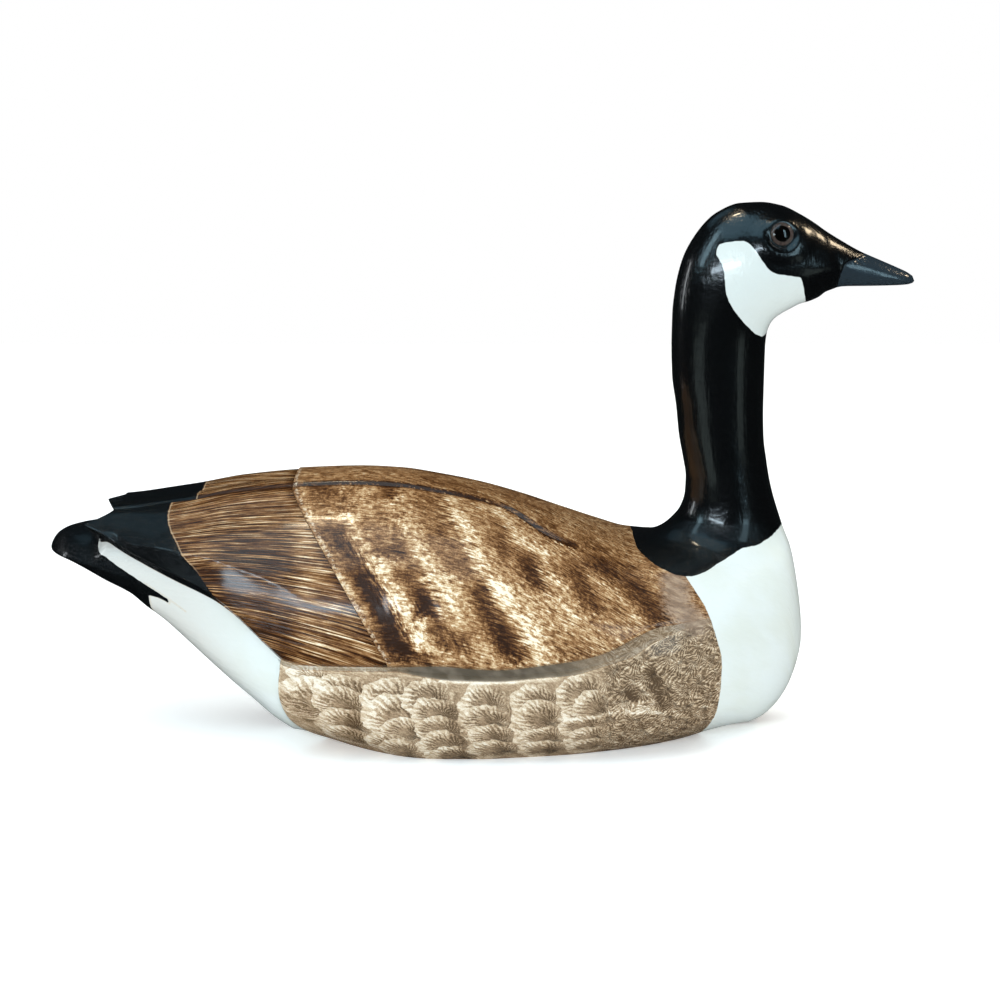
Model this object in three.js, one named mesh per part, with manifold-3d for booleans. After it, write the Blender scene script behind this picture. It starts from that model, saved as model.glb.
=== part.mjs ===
// A Canada goose decoy, carved in wood and painted, with glass eyes.
// Millimetres, +Z up, bill towards +X, the bird's right side towards -Y. The origin lies on the flat
// underside, below the middle of the whole bird.
import * as THREE from 'three';
import { mergeVertices } from 'three/addons/utils/BufferGeometryUtils.js';
import Module from 'manifold-3d';

const wasm = await Module();
wasm.setup();

// Driving dimensions
const LENGTH = 530.4;
const TAIL_TIP = -LENGTH / 2;
const BILL_TIP = LENGTH / 2;
const BREAST_FRONT = 201.8;
const TAIL_TIP_HEIGHT = 112.7;
const BREAST_FRONT_HEIGHT = 57;
const SEAT_HEIGHT = 130; // the flat shelf that the neck is glued on
const JOINT_GAP = 0.3;
const EYE_DIAMETER = 14;
const TAIL_EDGE = 5.5; // thickness of the tail's rim
const GROOVE_DEPTH = 2; // between the wings and the cape of the back
const VALLEY_DEPTH = 3.5; // between the flight feathers of the two wings
const COVERT_STEP = 0.9; // the coverts lie this much over the flight feathers
const EYE_SEAT = 2; // how deep an eye's flat back lies under its rim
const EYE_DOME = 3; // how far an eye stands out of its rim
const SOCKET_REACH = 6; // the cutter of a socket reaches this far out of the head

// Lines of the body, each a list of [x, value]. A section of the body is an upper and a lower
// quarter of a superellipse on each side, and the lines say how it changes along the bird.
const WIDEST_HEIGHT = [
  [TAIL_TIP, TAIL_TIP_HEIGHT], [-262, 110.8], [-248, 109.3], [-234, 107.8], [-225, 106.3], [-213, 103.8],
  [-204, 101.3], [-184, 94.6], [-155, 77], [-130, 62], [-110, 53], [-80, 47.5], [-50, 45], [0, 44],
  [50, 44], [100, 47], [150, 53], [BREAST_FRONT, BREAST_FRONT_HEIGHT],
];
// the wings, the cape, the flanks and the breast
const OUTER_HALF = [
  [-240, 57], [-212, 61], [-185, 77], [-155, 89], [-130, 96], [-110, 99.8], [-80, 102.3], [-50, 103.5],
  [0, 104], [30, 103.7], [60, 102], [90, 97], [110, 92], [130, 84.5], [150, 74], [165, 63.5], [180, 51],
  [190, 39], [197, 26], [200, 16.5], [BREAST_FRONT, 0.2],
];
const OUTER_TOP = [
  [-240, 142.4], [-222, 143.6], [-203, 145.8], [-178, 149.2], [-147, 155], [-110, 158.6], [-73, 159.8],
  [-48, 158.6], [-24, 154.8], [1, 149.6], [26, 142.4], [51, 133.8], [76, 125.4], [93, 120.6], [110, 119.4],
  [140, 120.4], [170, 122.2], [186, 122.6], [188.8, 121.6], [192.7, 114.6], [197, 95.5], [200, 76],
  [BREAST_FRONT, BREAST_FRONT_HEIGHT + 0.2],
];
// the tail, the rump and the wood that the wings stand on
const INNER_HALF = [
  [TAIL_TIP, 0.2], [-264.3, 7], [-262, 13.5], [-255, 24.5], [-248, 32], [-234, 42], [-225, 47.5],
  [-213, 54], [-204, 59.5], [-190, 68], [-184, 71.5], [-155, 84.5], [-130, 92], [-110, 95.8], [-80, 98.3],
  [0, 100],
  [60, 98.5], [90, 94.5], [120, 88.5], [150, 74], [165, 63.5], [180, 51],
  [190, 39], [197, 26], [200, 16.5], [BREAST_FRONT, 0.2],
];
const INNER_TOP = [
  [TAIL_TIP, TAIL_TIP_HEIGHT + 0.3], [-263, 117.3], [-260, 120.6], [-253.7, 124], [-244, 126.6],
  [-234, 128.4], [-228, 131.6], [-221, 136], [-203, 139.8], [-178, 143.2], [-147, 149], [-110, 152.6],
  [-73, 154], [-48, 153], [-24, 149.4], [1, 144.4], [26, 137.4], [51, 129.4], [76, 122.8], [93, 119.6],
  [110, 119.2],
  [140, 120.4], [170, 122.2], [186, 122.6], [188.8, 121.6], [192.7, 114.6], [197, 95.5], [200, 76],
  [BREAST_FRONT, BREAST_FRONT_HEIGHT + 0.2],
];
const INNER_SQUARENESS = [[TAIL_TIP, 1.6], [-244, 1.45], [-233, 1.5], [-222, 2.1], [-200, 2.2]];
const OUTER_SQUARENESS = 2.2;
const FLAT_HALF = [
  [-112, 0], [-107, 14], [-98, 31.5], [-84, 50], [-71, 62.5], [-58, 72], [-45, 79.5], [-33, 83.5],
  [-20, 85], [0, 85.2], [25, 82], [50, 77.5], [75, 70], [100, 59.5], [125, 43.5], [137.5, 31.5],
  [150.6, 17.5], [160, 7.5], [168, 0],
];
const KEEL_REAR = [
  [TAIL_TIP, TAIL_TIP_HEIGHT - 0.8], [-262.4, 108.4], [-250, 103], [-235, 96], [-220, 89], [-209, 83],
  [-197, 73], [-184.7, 62], [-160, 40.5], [-147.6, 29.8], [-135.6, 19.4], [-123, 7.6], [-112, 0],
];
const KEEL_FRONT = [
  [168, 0], [176, 3.4], [183, 9], [188, 14.8], [192.3, 21.6], [195.9, 30], [198.4, 38.6], [200.2, 47.4],
  [BREAST_FRONT, BREAST_FRONT_HEIGHT - 0.4],
];

// The wings. Their lower edge runs from the tip forward over the flank, and their inner edge
// beside the cape.
const WING_TIP = -237;
const WING_TIP_FOOT = -228;
const WING_NOTCH = -221;
const WING_NOTCH_FOOT = -218.5;
const GROOVE_END = 80;
const WING_EDGE_HEIGHT = [
  [WING_TIP, 133.6], [-224.5, 128.8], [-213.9, 122.5], [-203, 117.5], [-180, 108.8], [-155, 99.5],
  [-141.8, 91.3], [-131.8, 82.5], [-121.8, 73.1], [-111.9, 65], [-100, 62.6], [-51.4, 62.3], [-24, 63],
  [0, 61.2], [13, 60.6], [39, 63], [65, 66.7], [77, 69.8], [95, 77.2], [106, 81], [126, 83], [136, 84],
];
const GROOVE_HALF = [
  [WING_TIP, 24], [WING_NOTCH, 26], [-180, 28], [-112, 29], [13, 29.5], [26, 36], [41, 46], [57, 50],
  [GROOVE_END, 52],
];
const FLANK_TOP_HEIGHT = [
  [-107.5, 58.2], [-100, 60.6], [-71.7, 61], [-52.6, 60], [-34, 56], [-12, 53.4], [13, 52.8], [39, 54.9],
  [52, 55.6], [77, 61.1], [91, 65], [104, 72.5], [125, 79], [136, 80.5],
];
const WING_FADE = { start: 90, end: 136 }; // the wing's lower edge dies into the shoulder here
const GROOVE_FADE = { start: 40, end: 62 }; // and the groove beside the cape here
const COVERT_EDGE_TOP = -112;
const COVERT_EDGE_FOOT = -52;
const FLANK_TOP_REAR = -100; // behind this the flank's top stays at the same height
const FLANK_REAR = { x: -116, angle: 1.75, bend: 28, slope: 3 }; // a rounded end, furthest back at angle
const RIM_REAR = { start: -264, end: -258 }; // the tail's square rim, from its tip
const RIM_FRONT = { start: -192, end: -184 }; // to where the wings cover it

// Angles of the section that part the features
const GROOVE_HALF_WIDTH = 0.03;
const WING_UNDERCUT = 0.012; // from the wing's lower edge to the wood below it
const COVE_WIDTH = 0.03; // the least width between a wing's lower edge and the flank
const RIM_WIDTH = 0.02; // from the widest place to the start of the belly

// How a column of the body's mesh leans: the x of its foot, of the wing's edge and of the middle
// of the back.
const COLUMN_LEAN = [
  [WING_TIP_FOOT, WING_TIP, WING_NOTCH], [-215, -219, -207], [-205, -206.5, -204], [-190, -190, -197],
  [-155, -155, -184], [-100, -100, -146], [COVERT_EDGE_FOOT, COVERT_EDGE_FOOT, COVERT_EDGE_TOP],
  [0, 0, -42], [60, 60, 50], [100, 100, 100],
];

// The head and neck: rings from the foot of the neck to the bill. back and front are the ends of a
// ring on the middle plane, [x, z]; half is its half width; low moves its widest place to the front
// or underside.
const NECK_RINGS = [
  { back: [112, 104], front: [184, 104], half: 40, low: 0 },
  { back: [108, 112], front: [186, 112], half: 39, low: 0 },
  { back: [105, 119], front: [188.3, 119], half: 35.5, low: 0 },
  { back: [114.5, 125.4], front: [188.3, 125.4], half: 31, low: 0 },
  { back: [121.6, 130.5], front: [186.9, 130], half: 29, low: 0 },
  { back: [125.4, 136], front: [184.9, 136], half: 27.8, low: 0 },
  { back: [128, 145], front: [182.1, 145], half: 26.5, low: 0 },
  { back: [128.4, 155], front: [179.7, 155], half: 25.5, low: 0 },
  { back: [126.5, 167], front: [177.6, 167], half: 24.7, low: 0 },
  { back: [123.8, 181], front: [175.7, 181], half: 24.2, low: 0 },
  { back: [121.7, 199.5], front: [175.1, 199.5], half: 24, low: 0 },
  { back: [119, 218], front: [175.2, 218], half: 24, low: 0 },
  { back: [118.3, 238], front: [175.4, 236], half: 24.3, low: 0 },
  { back: [118.5, 255], front: [176.3, 245], half: 25, low: 0.02 },
  { back: [120, 271], front: [179.5, 252], half: 26, low: 0.06 },
  { back: [124, 288.5], front: [184.5, 256], half: 27, low: 0.1 },
  { back: [132, 304], front: [190, 259], half: 27.3, low: 0.14 },
  { back: [143.9, 316.6], front: [195.5, 261.8], half: 26.6, low: 0.18 },
  { back: [158.3, 322.6], front: [201.6, 263.6], half: 25.2, low: 0.2 },
  { back: [171, 323.2], front: [207, 266], half: 23.4, low: 0.2 },
  { back: [183, 321.3], front: [211, 269], half: 21.2, low: 0.18 },
  { back: [194.7, 316], front: [215, 270.6], half: 18.6, low: 0.15 },
  { back: [204, 310.4], front: [218.5, 271.8], half: 16.4, low: 0.12 },
];
const BILL_RINGS = [
  { back: [210, 306.2], front: [221.5, 272.3], half: 14.2, low: 0.1 },
  { back: [219.3, 300.5], front: [226, 272.5], half: 12.8, low: 0.15 },
  { back: [231.7, 293.6], front: [234, 272.6], half: 11.2, low: 0.2 },
  { back: [244, 288.3], front: [245, 272.8], half: 9.9, low: 0.25 },
  { back: [254.5, 283.8], front: [255, 273.1], half: 8.2, low: 0.25 },
  { back: [260.5, 281], front: [261, 273.6], half: 6, low: 0.2 },
  { back: [263.8, 278.8], front: [264, 274.4], half: 3.2, low: 0.1 },
];
const EYE_CENTRE = new THREE.Vector3(181.4, 21, 305.4);
const EYE_AXIS = new THREE.Vector3(0.16, 1, 0.13).normalize();
const BILL_END = new THREE.Vector3(BILL_TIP, 0, 275.6);
// the raised almond that an eye sits in, level within start and gone at end, as shares of its size
const EYE_MOUND = { length: 15, height: 9.5, rise: 1.5, start: 0.4, end: 1.3 };

// A smooth curve through a list of [x, value] that never overshoots, held level past its ends.
function through(points) {
  const last = points.length - 1;
  const slope = (i) => (points[i + 1][1] - points[i][1]) / (points[i + 1][0] - points[i][0]);
  const tangents = points.map((point, i) => {
    if (i === 0) return slope(0);
    if (i === last) return slope(last - 1);
    const [before, after] = [slope(i - 1), slope(i)];
    return before * after <= 0 ? 0 : (2 * before * after) / (before + after);
  });
  return (x) => {
    if (x <= points[0][0]) return points[0][1];
    if (x >= points[last][0]) return points[last][1];
    const i = points.findIndex((point) => point[0] > x) - 1;
    const width = points[i + 1][0] - points[i][0];
    const t = (x - points[i][0]) / width;
    const [a, b] = [points[i][1], points[i + 1][1]];
    return a + t * t * (3 - 2 * t) * (b - a)
      + width * t * (1 - t) * ((1 - t) * tangents[i] - t * tangents[i + 1]);
  };
}

const mix = (a, b, t) => a + (b - a) * t;
const fade = (from, to, x) => THREE.MathUtils.smoothstep(x, from, to);

const widestHeight = through(WIDEST_HEIGHT);
const outer = { half: through(OUTER_HALF), top: through(OUTER_TOP), squareness: () => OUTER_SQUARENESS };
const inner = { half: through(INNER_HALF), top: through(INNER_TOP), squareness: through(INNER_SQUARENESS) };
const flatHalf = through(FLAT_HALF);
const keelRear = through(KEEL_REAR);
const keelFront = through(KEEL_FRONT);
const wingEdgeHeight = through(WING_EDGE_HEIGHT);
const grooveHalf = through(GROOVE_HALF);
const flankTopHeight = through(FLANK_TOP_HEIGHT);
const edgeLean = through(COLUMN_LEAN.map(([foot, edge]) => [foot, edge]));
const middleLean = through(COLUMN_LEAN.map(([foot, edge, middle]) => [foot, middle]));

// The lowest point of the lower quarter. Where the bird stands flat it is a virtual point below the
// floor, set so that the section meets the floor at the flat's half width.
function keel(x) {
  const flat = flatHalf(x);
  if (flat < 0.01) return x < 0 ? keelRear(x) : keelFront(x);
  const share = flat / outer.half(x);
  return widestHeight(x) * (1 - 1 / Math.sqrt(1 - share * share));
}

// A point of a section: angle 0 is the top, a quarter turn the widest place, a half turn the keel.
function sectionPoint(level, x, angle) {
  const widest = widestHeight(x);
  const power = angle < Math.PI / 2 ? 2 / level.squareness(x) : 1;
  const y = level.half(x) * Math.sin(angle) ** power;
  const reach = Math.abs(Math.cos(angle)) ** power;
  if (angle <= Math.PI / 2) return [y, widest + (level.top(x) - widest) * reach];
  return [y, widest - (widest - keel(x)) * reach];
}

const angleOfHeight = (x, z) => {
  const share = THREE.MathUtils.clamp((z - widestHeight(x)) / (outer.top(x) - widestHeight(x)), 0, 1);
  return Math.acos(share ** (OUTER_SQUARENESS / 2));
};
const angleOfHalf = (x, y) => {
  const share = THREE.MathUtils.clamp(y / outer.half(x), 0, 1);
  return Math.asin(share ** (OUTER_SQUARENESS / 2));
};
const wingEdgeAngle = (x) => {
  const at = Math.min(x, WING_FADE.end);
  return angleOfHeight(at, wingEdgeHeight(at));
};
const grooveAngle = (x) => {
  const at = Math.min(x, GROOVE_END);
  return angleOfHalf(at, grooveHalf(at));
};
const flankTopAngle = (x) => {
  const at = THREE.MathUtils.clamp(x, FLANK_TOP_REAR, WING_FADE.end);
  return Math.max(angleOfHeight(at, flankTopHeight(at)), wingEdgeAngle(x) + COVE_WIDTH);
};

// A point of the body's skin: raised goes from the inner level, 0, to the outer one, 1, and extra is
// added outwards in millimetres.
function bodyPoint(x, angle, raised, extra = 0) {
  const [y0, z0] = sectionPoint(inner, x, angle);
  const [y1, z1] = sectionPoint(outer, x, angle);
  const y = mix(y0, y1, raised) + extra * Math.sin(angle);
  return new THREE.Vector3(x, Math.max(y, 0), mix(z0, z1, raised) + extra * Math.cos(angle));
}

// The tail's rim is cut square, so the belly starts this much lower there.
function rimDrop(x, angle) {
  const share = fade(RIM_REAR.start, RIM_REAR.end, x) * (1 - fade(RIM_FRONT.start, RIM_FRONT.end, x));
  return TAIL_EDGE * Math.sin(angle) * share;
}

const CAPE_ROWS = 3;
const WING_ROWS = 8;
const FLANK_ROWS = 3;
const BELLY_ROWS = 6;
const VALLEY_BEND = 1.5; // more than 1 narrows the valley towards the middle of the back
const LEAN_BEND = 1.4; // more than 1 keeps a column upright for longer near the back
const COVE_MIDDLE = 0.6; // the lowest line of the cove, between the wing's edge and the flank's top

// One column of the body's mesh from the middle of the back to the middle of the underside.
// feathers says which layer the column cuts: 0 tail and rump, 1 flight feathers, 2 coverts and cape.
function column(foot, edge, middle, feathers) {
  const points = [];
  const raised = feathers > 0 ? 1 : 0;
  const layer = feathers === 1 ? -COVERT_STEP : 0;
  const valley = feathers === 1 ? VALLEY_DEPTH : 0;
  const groove = grooveAngle(middle);
  const wingEdge = wingEdgeAngle(edge);
  for (let i = 0; i < CAPE_ROWS; i += 1) {
    const t = i / CAPE_ROWS;
    const hollow = valley * (1 - t) ** VALLEY_BEND;
    points.push(bodyPoint(middle, mix(0, groove - GROOVE_HALF_WIDTH, t), raised, layer - hollow));
  }
  const grooveShare = 1 - fade(GROOVE_FADE.start, GROOVE_FADE.end, middle);
  const cut = feathers === 2 ? GROOVE_DEPTH * grooveShare : 0;
  points.push(bodyPoint(middle, groove - GROOVE_HALF_WIDTH, raised, layer));
  points.push(bodyPoint(middle, groove, raised, layer - cut));
  for (let i = 0; i <= WING_ROWS; i += 1) {
    const t = i / WING_ROWS;
    const x = mix(middle, edge, t ** LEAN_BEND);
    points.push(bodyPoint(x, mix(groove + GROOVE_HALF_WIDTH, wingEdge, t), raised, layer));
  }
  // below the wing's edge the wood steps in, and the flank rises again in front
  const flankTop = flankTopAngle(foot);
  const filled = feathers > 0 ? fade(WING_FADE.start, WING_FADE.end, foot) : 0;
  points.push(bodyPoint(foot, wingEdge + WING_UNDERCUT, filled));
  points.push(bodyPoint(foot, mix(wingEdge, flankTop, COVE_MIDDLE), filled));
  for (let i = 0; i <= FLANK_ROWS; i += 1) {
    const t = i / FLANK_ROWS;
    const angle = mix(flankTop, Math.PI / 2, t);
    points.push(bodyPoint(foot, angle, flankRaised(foot, angle)));
  }
  for (let i = 0; i <= BELLY_ROWS; i += 1) {
    const angle = mix(Math.PI / 2 + RIM_WIDTH, Math.PI, i / BELLY_ROWS);
    const point = bodyPoint(foot, angle, flankRaised(foot, angle));
    point.z -= rimDrop(foot, angle);
    points.push(point);
  }
  points[0].y = 0;
  points[points.length - 1].y = 0;
  return points;
}

// The flank has a rounded rear end, and lies over the rump behind it.
function flankRaised(x, angle) {
  const away = angle - FLANK_REAR.angle;
  const rear = FLANK_REAR.x + FLANK_REAR.bend * away * away;
  return fade(rear - FLANK_REAR.slope, rear + FLANK_REAR.slope, x);
}

const spaced = (from, to, count) => Array.from({ length: count }, (_, i) => mix(from, to, i / count));

// Where the columns stand: close together at both ends of the body, and on both sides of a step
const TAIL_COLUMNS = 9;
const TIP_COLUMNS = { count: 6, end: -185 };
const FLIGHT_COLUMNS = 14;
const SHOULDER_COLUMNS = { count: 17, end: 100 };
const CHEST_COLUMNS = { count: 9, end: 176 };
const BREAST_COLUMNS = 8;
const WING_END_WIDTH = 0.8; // from the last column of the tail to the wings
const COVERT_EDGE_WIDTH = 0.6; // from the last column of the flight feathers to the coverts

function bodyColumns() {
  const columns = [];
  for (let i = 1; i <= TAIL_COLUMNS; i += 1) {
    const t = 1 - Math.cos((i / TAIL_COLUMNS) * Math.PI / 2);
    const foot = mix(TAIL_TIP, WING_TIP_FOOT - WING_END_WIDTH, t);
    columns.push(column(foot, foot, mix(TAIL_TIP, WING_NOTCH_FOOT, t), 0));
  }
  const flight = [
    ...spaced(WING_TIP_FOOT, TIP_COLUMNS.end, TIP_COLUMNS.count),
    ...spaced(TIP_COLUMNS.end, COVERT_EDGE_FOOT, FLIGHT_COLUMNS),
    COVERT_EDGE_FOOT,
  ];
  for (const foot of flight) columns.push(column(foot, edgeLean(foot), middleLean(foot), 1));
  const coverts = [
    ...spaced(COVERT_EDGE_FOOT + COVERT_EDGE_WIDTH, SHOULDER_COLUMNS.end, SHOULDER_COLUMNS.count),
    ...spaced(SHOULDER_COLUMNS.end, CHEST_COLUMNS.end, CHEST_COLUMNS.count),
  ];
  for (const foot of coverts) columns.push(column(foot, edgeLean(foot), middleLean(foot), 2));
  for (let i = 0; i < BREAST_COLUMNS; i += 1) {
    const t = Math.sin((i / BREAST_COLUMNS) * Math.PI / 2);
    const foot = mix(CHEST_COLUMNS.end, BREAST_FRONT, t);
    columns.push(column(foot, foot, foot, 2));
  }
  return columns;
}

// A closed mesh over half rings that are mirrored in y, with a point at each end.
function mirroredLoft(halfRings, startPoint, endPoint) {
  const positions = [];
  const count = halfRings[0].length;
  const ringSize = 2 * count - 2;
  for (const half of halfRings) {
    for (const point of half) positions.push(point.x, -point.y, point.z);
    for (let i = count - 2; i > 0; i -= 1) positions.push(half[i].x, half[i].y, half[i].z);
  }
  const start = positions.length / 3;
  positions.push(...startPoint.toArray());
  positions.push(...endPoint.toArray());
  const end = start + 1;
  const indices = [];
  for (let r = 0; r + 1 < halfRings.length; r += 1) {
    for (let i = 0; i < ringSize; i += 1) {
      const j = (i + 1) % ringSize;
      const [a, b] = [r * ringSize + i, r * ringSize + j];
      const [c, d] = [a + ringSize, b + ringSize];
      indices.push(a, b, d, a, d, c);
    }
  }
  const lastRing = (halfRings.length - 1) * ringSize;
  for (let i = 0; i < ringSize; i += 1) {
    const j = (i + 1) % ringSize;
    indices.push(start, j, i);
    indices.push(end, lastRing + i, lastRing + j);
  }
  const geometry = new THREE.BufferGeometry();
  geometry.setAttribute('position', new THREE.Float32BufferAttribute(positions, 3));
  geometry.setIndex(indices);
  return geometry;
}

function solidOf(geometry) {
  const bare = geometry.clone();
  bare.deleteAttribute('normal');
  bare.deleteAttribute('uv');
  const merged = mergeVertices(bare, 1e-4);
  const mesh = new wasm.Mesh({
    numProp: 3,
    vertProperties: Float32Array.from(merged.attributes.position.array),
    triVerts: Uint32Array.from(merged.index.array),
  });
  return new wasm.Manifold(mesh);
}

function geometryOf(solid) {
  const mesh = solid.getMesh();
  const geometry = new THREE.BufferGeometry();
  geometry.setAttribute('position', new THREE.Float32BufferAttribute(mesh.vertProperties, 3));
  geometry.setIndex(Array.from(mesh.triVerts));
  geometry.computeVertexNormals();
  return geometry;
}

function boxSolid(low, high) {
  const size = high.clone().sub(low);
  const box = new THREE.BoxGeometry(size.x, size.y, size.z);
  box.translate(...low.clone().add(high).multiplyScalar(0.5).toArray());
  return solidOf(box);
}

function bodySolid() {
  const tail = new THREE.Vector3(TAIL_TIP, 0, TAIL_TIP_HEIGHT);
  const breast = new THREE.Vector3(BREAST_FRONT, 0, BREAST_FRONT_HEIGHT);
  return solidOf(mirroredLoft(bodyColumns(), tail, breast));
}

// Rings of the head and neck, with the rings between the named ones on smooth curves.
function ringCurves(rings) {
  const names = [(r) => r.back[0], (r) => r.back[1], (r) => r.front[0], (r) => r.front[1],
    (r) => r.half, (r) => r.low];
  const curves = names.map((pick) => through(rings.map((ring, i) => [i, pick(ring)])));
  return (place) => curves.map((curve) => curve(place));
}

const RING_POINTS = 12; // of half a ring
const RING_COUNT = 44;
const NECK_ROOT_DEPTH = 4; // the end of the neck's root, which lies inside the body

const moundRise = (x, z) => {
  const away = Math.hypot((x - EYE_CENTRE.x) / EYE_MOUND.length, (z - EYE_CENTRE.z) / EYE_MOUND.height);
  return EYE_MOUND.rise * (1 - fade(EYE_MOUND.start, EYE_MOUND.end, away));
};

function halfRing([backX, backZ, frontX, frontZ, half, low]) {
  const points = [];
  for (let i = 0; i < RING_POINTS; i += 1) {
    const angle = (i / (RING_POINTS - 1)) * Math.PI;
    const along = (1 - Math.cos(angle)) / 2;
    const [x, z] = [mix(backX, frontX, along), mix(backZ, frontZ, along)];
    const y = half * Math.sin(angle) * (1 - low * Math.cos(angle)) + moundRise(x, z);
    const end = i === 0 || i === RING_POINTS - 1;
    points.push(new THREE.Vector3(x, end ? 0 : y, z));
  }
  return points;
}

function neckAndHeadSolid() {
  const rings = [...NECK_RINGS, ...BILL_RINGS];
  const at = ringCurves(rings);
  const halfRings = [];
  for (let i = 0; i <= RING_COUNT; i += 1) {
    halfRings.push(halfRing(at((i / RING_COUNT) * (rings.length - 1))));
  }
  const [first] = rings;
  const rootX = (first.back[0] + first.front[0]) / 2;
  const root = new THREE.Vector3(rootX, 0, first.back[1] - NECK_ROOT_DEPTH);
  return solidOf(mirroredLoft(halfRings, root, BILL_END));
}

// A glass eye: a flat back and a domed front, about the +Y axis.
const DOME_STEPS = 5;
const EYE_SIDES = 18;
function eyeGeometry(radius, back, dome) {
  const profile = [new THREE.Vector2(0, -back), new THREE.Vector2(radius, -back)];
  for (let i = 0; i < DOME_STEPS; i += 1) {
    const angle = (i / DOME_STEPS) * Math.PI / 2;
    profile.push(new THREE.Vector2(radius * Math.cos(angle), dome * Math.sin(angle)));
  }
  profile.push(new THREE.Vector2(0, dome));
  return new THREE.LatheGeometry(profile, EYE_SIDES);
}

function placeEye(geometry, side) {
  const axis = new THREE.Vector3(EYE_AXIS.x, side * EYE_AXIS.y, EYE_AXIS.z);
  const turn = new THREE.Quaternion().setFromUnitVectors(new THREE.Vector3(0, 1, 0), axis);
  const centre = new THREE.Vector3(EYE_CENTRE.x, side * EYE_CENTRE.y, EYE_CENTRE.z);
  return geometry.clone().applyQuaternion(turn).translate(centre.x, centre.y, centre.z);
}

const RIGHT = -1;
const LEFT = 1;
const eyeRadius = EYE_DIAMETER / 2;
const REACH = 400; // further than any part of the bird

// everything between two heights
function slab(low, high) {
  return boxSolid(new THREE.Vector3(-REACH, -REACH, low), new THREE.Vector3(REACH, REACH, high));
}

const neckAndHead = neckAndHeadSolid();
const neckRoot = neckAndHead.intersect(slab(0, SEAT_HEIGHT - JOINT_GAP / 2));
const body = bodySolid().add(neckRoot).subtract(slab(-REACH, 0));
let head = neckAndHead.intersect(slab(SEAT_HEIGHT + JOINT_GAP / 2, REACH));
for (const side of [RIGHT, LEFT]) {
  const socket = eyeGeometry(eyeRadius + JOINT_GAP, EYE_SEAT + JOINT_GAP, SOCKET_REACH);
  head = head.subtract(solidOf(placeEye(socket, side)));
}

function piece(name, geometry, color, roughness) {
  const material = new THREE.MeshStandardMaterial({ color, roughness, metalness: 0 });
  const mesh = new THREE.Mesh(geometry, material);
  mesh.name = name;
  return mesh;
}

const goose = new THREE.Group();
goose.add(piece('body', geometryOf(body), 0x7a5a3c, 0.35));
goose.add(piece('head_and_neck', geometryOf(head), 0x0c0d10, 0.2));
const glassEye = eyeGeometry(eyeRadius, EYE_SEAT, EYE_DOME);
goose.add(piece('eye_right', placeEye(glassEye, RIGHT), 0x2a1408, 0.05));
goose.add(piece('eye_left', placeEye(glassEye, LEFT), 0x2a1408, 0.05));

export default goose;
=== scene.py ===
import math

import bpy
import numpy as np
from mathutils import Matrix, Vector


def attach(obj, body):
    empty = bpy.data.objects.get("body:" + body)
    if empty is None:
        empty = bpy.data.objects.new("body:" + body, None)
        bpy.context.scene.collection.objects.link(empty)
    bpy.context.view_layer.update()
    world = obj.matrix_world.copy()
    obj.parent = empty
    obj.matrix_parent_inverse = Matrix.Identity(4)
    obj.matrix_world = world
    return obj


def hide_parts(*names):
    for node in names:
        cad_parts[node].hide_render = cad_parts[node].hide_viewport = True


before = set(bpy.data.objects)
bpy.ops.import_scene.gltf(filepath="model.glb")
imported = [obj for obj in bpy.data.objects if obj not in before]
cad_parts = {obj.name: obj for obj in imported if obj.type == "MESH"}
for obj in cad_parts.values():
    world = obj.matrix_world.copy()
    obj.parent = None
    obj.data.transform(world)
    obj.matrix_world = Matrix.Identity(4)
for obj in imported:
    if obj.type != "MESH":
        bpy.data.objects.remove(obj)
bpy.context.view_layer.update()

# The body. One block of wood, carved with two folded wings over a wedge tail, coverts that lie over
# the flight feathers, a flank on each side and a flat underside, then painted and varnished. All
# sizes of the carving are millimetres: +x to the bill, y out from the middle, z up from the floor.

TAIL_TIP, TAIL_TIP_HEIGHT = -265.2, 112.7
BREAST_FRONT, BREAST_FRONT_HEIGHT = 201.8, 57
WIDEST_HEIGHT = [
    (TAIL_TIP, TAIL_TIP_HEIGHT), (-262, 110.8), (-248, 109.3), (-234, 107.8), (-225, 106.3), (-213, 103.8),
    (-204, 101.3), (-184, 94.6), (-155, 77), (-130, 62), (-110, 53), (-80, 47.5), (-50, 45), (0, 44),
    (50, 44), (100, 47), (150, 53), (BREAST_FRONT, BREAST_FRONT_HEIGHT),
]
OUTER_HALF = [
    (-240, 57), (-212, 61), (-185, 77), (-155, 89), (-130, 96), (-110, 99.8), (-80, 102.3), (-50, 103.5),
    (0, 104), (30, 103.7), (60, 102), (90, 97), (110, 92), (130, 84.5), (150, 74), (165, 63.5), (180, 51),
    (190, 39), (197, 26), (200, 16.5), (BREAST_FRONT, 0.2),
]
OUTER_TOP = [
    (-240, 142.4), (-222, 143.6), (-203, 145.8), (-178, 149.2), (-147, 155), (-110, 158.6), (-73, 159.8),
    (-48, 158.6), (-24, 154.8), (1, 149.6), (26, 142.4), (51, 133.8), (76, 125.4), (93, 120.6), (110, 119.4),
    (140, 120.4), (170, 122.2), (186, 122.6), (188.8, 121.6), (192.7, 114.6), (197, 95.5), (200, 76),
    (BREAST_FRONT, BREAST_FRONT_HEIGHT + 0.2),
]
INNER_HALF = [
    (TAIL_TIP, 0.2), (-264.3, 7), (-262, 13.5), (-255, 24.5), (-248, 32), (-234, 42), (-225, 47.5),
    (-213, 54), (-204, 59.5), (-190, 68), (-184, 71.5), (-155, 84.5), (-130, 92), (-110, 95.8), (-80, 98.3),
    (0, 100), (60, 98.5), (90, 94.5), (120, 88.5), (150, 74), (165, 63.5), (180, 51), (190, 39), (197, 26),
    (200, 16.5), (BREAST_FRONT, 0.2),
]
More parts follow.
